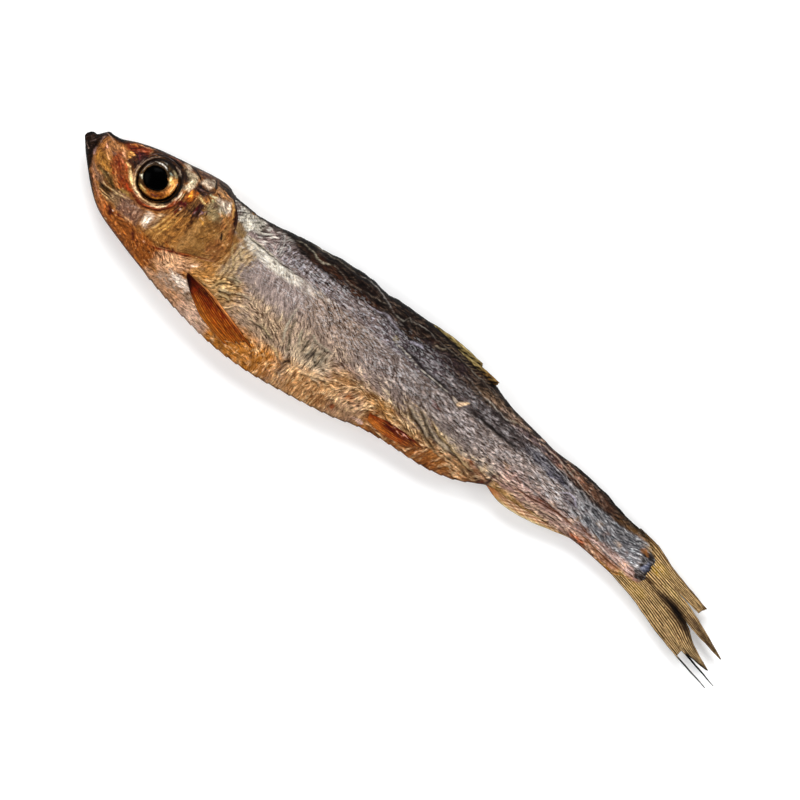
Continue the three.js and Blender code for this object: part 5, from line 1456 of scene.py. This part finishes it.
def back_fin_coat(x, y, s, t, rib, tone, seed):
    """Colours and shine of the back fin: olive, and black where it is folded under."""
    fleck = rough(x / 0.7, y / 0.2, seed + 40)
    rays = np.sin(2 * math.pi * (x - 1.6 * y) / 1.15 + 0.8 * fleck)
    coat = Coat(x, y, "#8d7a4c", seed)
    coat.lay("#3a3222", smooth(x, 59, 55))
    coat.ripple(fleck, 0.1, 0.6, ("#b8a878", 0.6), ("#4f4024", 0.6))
    coat.lay("#754b1e", smooth(x, 64, 67) * 0.7)
    coat.lay("#150e08", smooth(s, 0.15, 0.42) * (0.75 + 0.4 * rays))
    coat.lay("#21160a", smooth(rib, 0.35, 0.05) * 0.5)
    coat.shade(1 + 0.3 * fleck)
    return coat.colour, np.full(len(x), 0.5)


def vent_fin_coat(x, y, s, t, rib, tone, seed):
    """Colours and shine of the vent fin: pale rays with a yellow edge."""
    fleck = rough(x / 0.5, y / 0.3, seed + 40)
    coat = Coat(x, y, "#a88063", seed)
    rays = np.sin(2 * math.pi * (y * 0.9 - x * 0.42) / 0.42 + 0.6 * fleck)
    coat.lay("#b08a52", smooth(s, 0.5, 0.9))
    coat.lay("#e6c8a4", smooth(rays, 0.3, 0.9) * smooth(s, 0.05, 0.2) * smooth(x, 79, 81) * 0.7, 0.5)
    coat.lay("#7c4c34", smooth(-rays, 0.3, 0.9) * smooth(s, 0.85, 0.6) * 0.5, 0.5)
    coat.lay("#d8c79a", smooth(s, 0.75, 1.0) * span(x, 78, 81, 86, 90))
    coat.lay("#a0643a", smooth(x, 79.5, 77.5))
    coat.lay("#e8dcb8", smooth(fleck, 0.2, 0.7) * smooth(s, 0.6, 0.9) * 0.4)
    coat.lay("#6d4724", smooth(rib, 0.35, 0.05) * 0.6)
    coat.lay("#7d5730", smooth(-tone, 0.1, 0.7) * 0.5)
    coat.shade(1 + 0.25 * fleck)
    return coat.colour, np.full(len(x), 0.6)


TAIL_PARTS = [
    ("tail_fin_upper", [(97.5, 6.3), (101.2, 5.9), (104.9, 4.77), (108.6, 3.98), (112.3, 3.25)],
     [(98.5, 3.4), (101.8, 3.1), (105.1, 2.75), (108.4, 2.4), (111.7, 2.0)], 8, 0.02),
    ("tail_fin_upper_middle", [(99, 3.9), (104, 3.2), (110, 2.0), (114, 0.65), (118.5, -1.1)],
     [(99, 1.5), (104, 0.8), (110, 0.05), (114, -0.6), (118.4, -1.2)], 7, 0.02),
    ("tail_fin_lower_middle", [(99, 1.8), (104, 1.1), (110.6, 0.1), (114, -1.9), (118, -3.55)],
     [(99, -0.1), (104, -0.7), (109, -2.0), (113.4, -3.5), (117.8, -3.65)], 7, 0.02),
    ("tail_fin_lower", [(98.5, 0.2), (104, -0.4), (109, -1.6), (113.2, -3.2)],
     [(97, -1.25), (103, -2.35), (108.5, -3.85), (113.1, -4.75)], 7, 0.01),
    ("tail_ray_long", [(108, -2.25), (112, -3.15), (116, -3.92), (119.9, -4.7)],
     [(108, -2.55), (112, -3.47), (116, -4.2), (119.9, -4.82)], 1, 0),
    ("tail_ray_lower", [(108, -3.5), (112.5, -4.47), (116, -5.1), (119.1, -5.64)],
     [(108, -3.74), (112.5, -4.73), (116, -5.33), (119.1, -5.77)], 1, 0),
]


def above_middle(up):
    """A fin that lies this far above the middle of the fish."""
    return lambda x, y: mid_height(x) + up


def on_flank(side):
    """A fin that lies close on one flank."""
    return lambda x, y: np.maximum(flank_height(x, y, side) + 0.12 * side, 0.3)


def make_fins():
    """All the fins and the two loose rays of the tail."""
    fins = [make_fin(name, upper, lower, rays, 130, above_middle(0.06 * (k % 2)), (0.9, 0.22), tail_coat,
                     0.1, 3, frayed, root=0.14)
            for k, (name, upper, lower, rays, frayed) in enumerate(TAIL_PARTS)]
    for side, word in ((1, "left"), (-1, "right")):
        fins.append(make_fin(f"breast_fin_{word}",
                             [(24.2, -6.05), (28.6, -6.2), (33.0, -7.2), (38.4, -8.7)],
                             [(24.5, -6.7), (27.0, -8.5), (30.2, -10.0), (35.2, -10.9)], 12, 120,
                             on_flank(side), (0.7, 0.3), breast_fin_coat, 0.09, 5, 0.12))
        fins.append(make_fin(f"belly_fin_{word}", [(57.0, -5.3), (60, -4.6), (63, -4.3), (66.6, -4.4)],
                             [(57.4, -6.4), (59.5, -6.6), (61.5, -6.4), (64.4, -5.8)], 8, 90,
                             on_flank(side), (0.6, 0.3), belly_fin_coat, 0.08, 6, 0.1))
    fins.append(make_fin("back_fin_upper", [(53.5, 9.9), (57, 10.45), (61, 10.64), (65.3, 10.35)],
                         [(54, 8.9), (58, 9.2), (62, 9.1), (65.5, 9.6)], 4, 110,
                         above_middle(0.25), (0.8, 0.25), back_fin_coat, 0.08, 7, root=0.1))
    fins.append(make_fin("back_fin_lower", [(58, 9.8), (62, 9.8), (66, 9.95), (68.8, 9.72)],
                         [(58, 8.7), (62, 8.7), (66, 8.9), (68.7, 9.1)], 4, 90,
                         above_middle(0.8), (0.7, 0.25), back_fin_coat, 0.08, 8, root=0.1))
    fins.append(make_fin("vent_fin", [(76.2, -2.0), (80, -2.0), (84, -1.6), (87.5, -1.2), (90.6, -0.9)],
                         [(76.0, -2.75), (79.6, -3.62), (84, -3.1), (88, -1.95), (90.6, -1.2)], 8, 120,
                         above_middle(0.1), (0.6, 0.2), vent_fin_coat, 0.06, 9, root=0.1))
    return fins


# Eyes
EYE_RINGS, EYE_SEGMENTS = 90, 128

# Marks on the iris: points, half width, colour and strength.
# The pale arcs at its upper left, the white bead below the pupil's left side and the pink-white glint at
# its right are painted highlights.
IRIS_STROKES = [
    ((10.7, 3.35, 11.3, 3.6, 12.0, 3.65, 12.9, 3.5), 0.09, "#cfc8bd", 0.85),
    ((11.1, 4.0, 11.9, 4.15, 12.5, 4.0), 0.09, "#6e6c66", 0.7),
    ((9.8, 3.0, 10.0, 3.5, 10.4, 3.9, 10.9, 4.1), 0.13, "#cfc6bc", 0.9),
    ((13.5, 3.9, 14.2, 3.7, 14.7, 3.2), 0.2, "#8a7c5c", 0.9),
    ((13.7, 3.2, 14.0, 2.8, 14.2, 2.3, 14.5, 1.7), 0.2, "#e6cc92", 0.9),
    ((15.2, 3.3, 15.6, 2.4, 15.7, 1.4, 15.5, 0.4, 14.9, -0.5), 0.17, "#140d0a", 0.95),
    ((9.75, 1.2, 9.8, 2.3, 10.3, 3.1), 0.1, "#a79aa0", 0.85),
    ((9.95, 0.2, 9.9, 0.8), 0.09, "#8f8080", 0.8),
    ((10.4, 1.0, 10.3, 1.8, 10.5, 2.6), 0.1, "#6b4a28", 0.7),
    ((10.1, 0.5, 10.5, 0.55, 10.9, 0.35), 0.2, "#fff6d8", 1.0),
    ((10.4, -0.45, 11.2, -0.8, 12.2, -0.95, 13.0, -0.9), 0.17, "#d2a052", 0.95),
    ((10.8, -0.45, 11.6, -0.65, 12.4, -0.7), 0.08, "#f0cf86", 0.8),
    ((10.4, -0.95, 11.6, -1.35, 13.0, -1.45, 14.0, -1.2), 0.2, "#321a0c", 0.95),
    ((13.3, -0.5, 14.0, -0.1, 14.4, 0.6), 0.22, "#7c3f16", 0.85),
    ((13.4, -0.8, 14.2, -0.6, 14.7, -0.1), 0.13, "#c4742a", 0.8),
    ((14.5, -0.6, 14.9, 0.2, 15.0, 1.2), 0.2, "#cf7d28", 0.85),
    ((14.4, 0.6, 14.6, 1.4, 14.5, 2.2), 0.12, "#5c3214", 0.7),
    ((15.2, 0.2, 15.3, 1.2, 15.2, 2.2), 0.1, "#8c4f1e", 0.7),
    ((14.1, 2.2, 14.4, 2.6, 14.3, 3.0), 0.12, "#d8b25a", 0.85),
    ((14.8, 2.0, 15.0, 2.5), 0.1, "#c89a4a", 0.7),
    ((15.1, 2.7, 15.4, 2.9), 0.13, "#f3dcd4", 0.95),
    ((13.2, 3.4, 13.8, 3.3, 14.2, 3.5), 0.1, "#7d8274", 0.7),
    ((13.9, -1.3, 14.6, -0.9), 0.1, "#8a4a1c", 0.7),
    ((14.9, 2.6, 15.1, 1.8, 15.1, 1.0), 0.09, "#f0cf86", 0.8),
    ((10.2, 0.9, 10.1, 1.5, 10.25, 2.4, 10.6, 3.1), 0.05, "#a3968a", 0.7),
    ((13.2, -0.9, 14.2, -0.5, 14.8, 0.4), 0.28, "#7c3c14", 0.8),
    ((13.4, -0.95, 14.0, -0.75, 14.5, -0.3), 0.1, "#d98a34", 0.8),
    ((11.2, -1.15, 12.2, -1.3, 13.3, -1.2), 0.16, "#3a1d0e", 0.9),
    ((14.2, 1.2, 14.6, 0.4, 14.2, -0.3), 0.16, "#6b3416", 0.8),
    ((13.0, -0.6, 13.7, -0.5, 14.2, -0.1), 0.1, "#4a2230", 0.7),
]

EYE_RADIUS, EYE_DOME, EYE_SUNK = 3.2, 1.5, 1.3
PUPIL_CENTRE, PUPIL_RADII = (12.2, 1.5), (1.88, 1.8)


def make_eye(side, word):
    """The shrunken eyeball: a shallow dome with a black pupil sunk in a golden iris."""
    deselect()
    bpy.ops.mesh.primitive_uv_sphere_add(segments=EYE_SEGMENTS, ring_count=EYE_RINGS, radius=1)
    piece = bpy.context.object
    piece.name = piece.data.name = f"eyeball_{word}"
    flat = np.empty(len(piece.data.vertices) * 3)
    piece.data.vertices.foreach_get("co", flat)
    bx, by, bz = flat.reshape(-1, 3).T
    x = IRIS_CENTRE[0] + EYE_RADIUS * bx
    y = IRIS_CENTRE[1] + EYE_RADIUS * by
    off_x, off_y = x - PUPIL_CENTRE[0], y - PUPIL_CENTRE[1]
    from_pupil = np.hypot(off_x / PUPIL_RADII[0], off_y / PUPIL_RADII[1])
    point = np.degrees(np.arctan2(off_y, off_x))
    from_pupil -= 0.1 * bell(point, -6, 24) - 0.05 * bell(point, 50, 24)
    from_iris, turn = round_iris(x, y)
    angle = np.radians(turn)
    rays = rough(np.cos(angle) * 9 + from_iris * 0.3, np.sin(angle) * 9, 61)
    fleck = rough(x / 0.4, y / 0.4, 62)
    sx = x + 0.12 * rough(x / 0.5, y / 0.5, 63)
    sy = y + 0.12 * rough(x / 0.5, y / 0.5, 64)
    ragged = from_pupil + 0.05 * rough(x / 0.6, y / 0.6, 65)
    upper = bz > 0
    pit = 0.4 * smooth(ragged, 1.02, 0.86) + 0.15 * smooth(from_iris, 2.5, 3.0)
    coat = Coat(x, y, "#b07a38", 60)
    coat.lay("#a95c24", sector(turn, -60, 90, 50))
    coat.lay("#e69851", sector(turn, 10, 60, 25) * 0.8)
    coat.lay("#5c3012", smooth(rays, 0.2, 0.8) * 0.45)
    coat.lay("#dca658", smooth(-rays, 0.15, 0.6) * 0.35)
    coat.lay("#1d1a16", sector(turn, 105, 70, 45) * 0.95)
    coat.lay("#33261c", sector(np.abs(turn), 180, 70, 45) * 0.9)
    coat.lay("#4a2a14", sector(turn, -100, 50, 25) * smooth(from_iris, 2.3, 2.7) * 0.9)
    marks = np.zeros(len(x))
    for run, width, code, cover in IRIS_STROKES:
        here = stroke(sx, sy, run, width)
        coat.lay(code, here * cover * 1.1, 2.2)
        marks += here * cover * (sum(linear(code)) / 3 - 0.2) * 0.2
    coat.lay("#3c2410", smooth(np.abs(ragged - 1.05), 0.12, 0.02) * sector(turn, -50, 110, 80) * 0.8)
    coat.shade(1 - 0.3 * sector(turn, -75, 80, 40) + 0.18 * sector(turn, 10, 50, 25))
    edge = 2.75 - 0.25 * sector(turn, -25, 70, 30)
    coat.lay("#120b09", smooth(from_iris + 0.1 * fleck - edge, 0, 0.18))
    coat.lay("#010101", smooth(ragged, 1.03, 0.96) * 1.2)
    coat.shade(1 + 0.3 * fleck)
    high = EYE_DOME * bz - upper * (pit - (marks - 0.04 * rays) * smooth(ragged, 1.0, 1.1))
    socket_height = half_thickness(IRIS_CENTRE[0], 0.62) - EYE_SUNK
    put(piece, x, y, mid_height(IRIS_CENTRE[0]) + side * (socket_height + high))
    store(piece, coat=coat.colour, shine=np.ones(len(x)))
    return close_up(piece)


# Materials
def add(tree, kind, sockets=None, **settings):
    """Adds a node, with its settings, and with its sockets set to values or linked to outputs."""
    new = tree.nodes.new("ShaderNode" + kind)
    for key, value in settings.items():
        setattr(new, key, value)
    for key, value in (sockets or {}).items():
        if isinstance(value, bpy.types.NodeSocket):
            tree.links.new(value, new.inputs[key])
        else:
            new.inputs[key].default_value = value
    return new


def drawn_noise(tree, where, size_mm, slope, **sockets):
    """Noise with grains of this size in mm along x, y and z, turned by a slope in degrees."""
    turned = add(tree, "Mapping", {"Vector": where, "Rotation": (0, 0, math.radians(slope)),
                                   "Scale": tuple(mm / 1000 for mm in size_mm)}, vector_type="TEXTURE")
    return add(tree, "TexNoise", {"Vector": turned.outputs[0], "Scale": 1, **sockets}).outputs[0]


# The fine wrinkles bend by this much to and fro, about this often.
BEND_MM, BEND_EVERY_MM = 0.8, 4 / 3


def fine_wrinkles(tree, where, length_mm, width_mm):
    """Noise drawn out along the slopes of the wrinkles and mixed by the flow of the skin."""
    bend = add(tree, "TexNoise", {"Vector": where, "Scale": 1000 / BEND_EVERY_MM, "Detail": 2})
    bent = add(tree, "VectorMath", {0: bend.outputs["Color"], 1: (BEND_MM / 1000,) * 3, 2: where},
               operation="MULTIPLY_ADD").outputs[0]
    shares = []
    for name in ("flow_a", "flow_b"):
        flow = add(tree, "Attribute", attribute_name=name)
        shares += add(tree, "SeparateColor", {0: flow.outputs["Color"]}).outputs[:3]
    mixed = 0.0
    for slope, share in zip(GRAIN_SLOPES, shares):
        noise = drawn_noise(tree, bent, (length_mm, width_mm, 1), slope, Detail=2, Roughness=0.55)
        mixed = add(tree, "Math", {0: noise, 1: share, 2: mixed}, operation="MULTIPLY_ADD").outputs[0]
    return mixed


# The bright flecks are what is left of the scales' silver lining. They are this long and wide, and
# reach through the thickness of the skin.
FLAKE_MM = (0.6, 0.22, 1)
SILVER = (*linear("#dfdedf"), 1)
# How much paler a crest is painted, partly rubbed and partly a painted highlight, and how crumpled a
# surface without wrinkles is.
RUBBED_AND_HIGHLIGHT_TINT = (2.1, 2.05, 2.0)
EVEN_CRUMPLE = 0.25


def skin_material(name, wrinkle_mm, grain_mm, drawn, bump_mm, roughness, gloss,
                  hollow_shade_tint=(0.26, 0.2, 0.17)):
    """A dried surface: its coat of colours with fine grain over it, more or less oily.

    drawn is how far the grain is drawn out in x and y, and the slope in degrees. The hollow tint is
    what is left of the colour in the hollows, which are painted dark as painted shade.
    """
    material = bpy.data.materials.new(name)
    material.use_nodes = True
    tree = material.node_tree
    shader = tree.nodes["Principled BSDF"]
    coat = add(tree, "Attribute", attribute_name="coat").outputs["Color"]
    shine = add(tree, "Attribute", attribute_name="shine").outputs["Fac"]
    where = add(tree, "TexCoord").outputs["Object"]
    grain_size = (grain_mm * drawn[0], grain_mm * drawn[1], grain_mm)
    pores = drawn_noise(tree, where, grain_size, drawn[2], Detail=3, Roughness=0.6)
    wrinkles, crumple = pores, EVEN_CRUMPLE
    if wrinkle_mm:
        wrinkles = fine_wrinkles(tree, where, *wrinkle_mm)
        crumple = add(tree, "Attribute", attribute_name="crumple").outputs["Fac"]
    # crests are painted paler, partly rubbed and partly a painted highlight, and the hollows are painted
    # dark as painted shade
    colour = coat
    for low, high, most, tint in ((0.52, 0.64, 0.85, RUBBED_AND_HIGHLIGHT_TINT), (0.48, 0.37, 1, hollow_shade_tint)):
        reach = add(tree, "MapRange", {0: wrinkles, 1: low, 2: high, 3: 0, 4: most})
        here = add(tree, "Math", {0: reach.outputs[0], 1: crumple}, operation="MULTIPLY")
        tinted = add(tree, "VectorMath", {0: coat, 1: tint}, operation="MULTIPLY")
        colour = add(tree, "Mix", {0: here.outputs[0], 6: colour, 7: tinted.outputs[0]},
                     data_type="RGBA").outputs[2]
    tone = add(tree, "MapRange", {0: pores, 1: 0.3, 2: 0.7, 3: 0.68, 4: 1.32})
    colour = add(tree, "VectorMath", {0: colour, "Scale": tone.outputs[0]}, operation="SCALE").outputs[0]
    # oily places are smoother, and pores duller
    dull = add(tree, "MapRange", {0: shine, 1: 0, 2: 1, 3: roughness + 0.18, 4: roughness - 0.12})
    worn = add(tree, "Math", {0: pores, 1: 0.2, 2: dull.outputs[0]}, operation="MULTIPLY_ADD")
    tree.links.new(worn.outputs[0], shader.inputs["Roughness"])
    if wrinkle_mm:
        # the flecks shine a little like metal
        silver = add(tree, "Attribute", attribute_name="silver").outputs["Fac"]
        flakes = drawn_noise(tree, where, FLAKE_MM, 0, Detail=2)
        left = add(tree, "MapRange", {0: flakes, 1: 0.53, 2: 0.62})
        here = add(tree, "Math", {0: left.outputs[0], 1: silver}, operation="MULTIPLY").outputs[0]
        seen = add(tree, "Math", {0: here, 1: 0.4}, operation="MULTIPLY")
        colour = add(tree, "Mix", {0: seen.outputs[0], 6: colour, 7: SILVER}, data_type="RGBA").outputs[2]
        metal = add(tree, "Math", {0: here, 1: 0.3}, operation="MULTIPLY")
        tree.links.new(metal.outputs[0], shader.inputs["Metallic"])
    tree.links.new(colour, shader.inputs["Base Color"])
    raised = add(tree, "Math", {0: wrinkles, 1: crumple}, operation="MULTIPLY")
    height = add(tree, "Math", {0: pores, 1: 0.25, 2: raised.outputs[0]}, operation="MULTIPLY_ADD")
    bump = add(tree, "Bump", {"Height": height.outputs[0], "Distance": bump_mm / 1000, "Strength": 0.9})
    tree.links.new(bump.outputs[0], shader.inputs["Normal"])
    shader.inputs["Specular IOR Level"].default_value = gloss
    return material


# The fish
head = make_head()
trunk = make_trunk()
fins = make_fins()
eyes = [make_eye(1, "left"), make_eye(-1, "right")]

# Dried skin: shrivelled and satin, glossy where the fish's own oil has come through, with the
# silver of the scales' lining left on the flank.
dried_skin = skin_material("dried_fish_skin", wrinkle_mm=(0.88, 0.195), grain_mm=0.2, drawn=(1, 1, 0),
                           bump_mm=0.07, roughness=0.42, gloss=0.04)
# Dried skin of the head, drawn tight over thin bone: fine-grained and oily.
dried_head = skin_material("dried_skin_over_bone", wrinkle_mm=(0.8, 0.17), grain_mm=0.22, drawn=(1, 1, 0),
                           bump_mm=0.05, roughness=0.38, gloss=0.05, hollow_shade_tint=(0.36, 0.2, 0.14))
# Dried fin: stiff, yellow and horny, with a dull shine along the rays.
dried_fin = skin_material("dried_fin_membrane", wrinkle_mm=None, grain_mm=0.16, drawn=(13, 1.3, -14),
                          bump_mm=0.04, roughness=0.45, gloss=0.04)
# Dried eye: hard and glassy under a skin of oil.
dried_eye = skin_material("dried_eye_lens", wrinkle_mm=None, grain_mm=0.3, drawn=(1, 1, 0),
                          bump_mm=0.005, roughness=0.2, gloss=0.01)

dressed = [(head, dried_head, "skin"), (trunk, dried_skin, "skin")]
dressed += [(fin, dried_fin, "fin") for fin in fins] + [(eye, dried_eye, "eye") for eye in eyes]
for piece, material, slot_name in dressed:
    piece.data.materials.clear()
    piece.data.materials.append(material)
    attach(piece, "root")
for piece in [head, trunk] + fins:
    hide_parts("body")
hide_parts("eye_left")
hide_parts("eye_right")

# Floor, light and camera
deselect()
bpy.ops.mesh.primitive_grid_add(x_subdivisions=2, y_subdivisions=2, size=3)
floor = bpy.context.object
floor.name = floor.data.name = "floor"
paper = bpy.data.materials.new("matt_white_paper")
paper.use_nodes = True
# a white sheet with a little light behind it, which takes up most of the shadow
for socket, value in {"Base Color": (*linear("#f4f4f4"), 1), "Roughness": 0.9, "Specular IOR Level": 0.1,
                      "Emission Color": (1, 1, 1, 1), "Emission Strength": 0.15}.items():
    paper.node_tree.nodes["Principled BSDF"].inputs[socket].default_value = value
floor.data.materials.append(paper)

scene = bpy.context.scene
scene.view_settings.view_transform = "Standard"
world = bpy.data.worlds.new("studio")
world.use_nodes = True
# The tent round the fish is white at the sides and dark overhead, where the camera looks in.
sky = world.node_tree
direction = add(sky, "TexCoord")
upward = add(sky, "SeparateXYZ", {0: direction.outputs["Generated"]})
opening = add(sky, "MapRange", {0: upward.outputs["Z"], 1: 0.25, 2: 0.6, 3: 0.9, 4: 0})
sky.links.new(opening.outputs[0], sky.nodes["Background"].inputs["Strength"])
scene.world = world


def softbox(name, position, size, watts):
    """A square lamp that faces the middle of the frame."""
    light = bpy.data.lights.new(name, "AREA")
    light.energy = watts
    light.size = size
    lamp = bpy.data.objects.new(name, light)
    scene.collection.objects.link(lamp)
    lamp.location = position
    lamp.rotation_mode = "QUATERNION"
    lamp.rotation_quaternion = (-Vector(position)).to_track_quat("-Z", "Y")


# Five lamps stand in a ring round the fish, in degrees and metres. The key light is the strongest.
KEY_AZIMUTH, LAMP_ELEVATION, LAMP_DISTANCE, LAMP_SIZE = 129, 46, 0.6, 0.3
LAMPS = [("key", 2.6), ("fill_1", 1.25), ("fill_2", 1.05), ("fill_3", 1.05), ("fill_4", 1.25)]
level = LAMP_DISTANCE * math.cos(math.radians(LAMP_ELEVATION))
up = LAMP_DISTANCE * math.sin(math.radians(LAMP_ELEVATION))
for k, (name, watts) in enumerate(LAMPS):
    azimuth = math.radians(KEY_AZIMUTH + k * 360 / len(LAMPS))
    softbox(name, (level * math.cos(azimuth), level * math.sin(azimuth), up), LAMP_SIZE, watts)

# The camera looks straight down. The fish lies aslant in the frame: its axis runs 39 degrees
# down to the right.
FISH_LENGTH_MM, FISH_LENGTH_PX, PHOTO_PX = 120, 840, 800
FRAME_WIDTH = PHOTO_PX * FISH_LENGTH_MM / FISH_LENGTH_PX / 1000
FISH_TURN = 39
LENS_MM, SENSOR_MM = 400, 36
FRAME_CENTRE = (59.2, -1.14)
camera_data = bpy.data.cameras.new("camera")
camera_data.lens = LENS_MM
camera_data.sensor_width = SENSOR_MM
camera_data.clip_start = 0.01
camera = bpy.data.objects.new("camera", camera_data)
scene.collection.objects.link(camera)
FOCUS_HEIGHT = 5.0
aim = place(*np.array([*FRAME_CENTRE, FOCUS_HEIGHT]))
camera.location = (aim[0], aim[1], aim[2] + FRAME_WIDTH * LENS_MM / SENSOR_MM)
camera.rotation_euler = (0, 0, math.radians(FISH_TURN))
scene.camera = camera

bpy.context.view_layer.update()
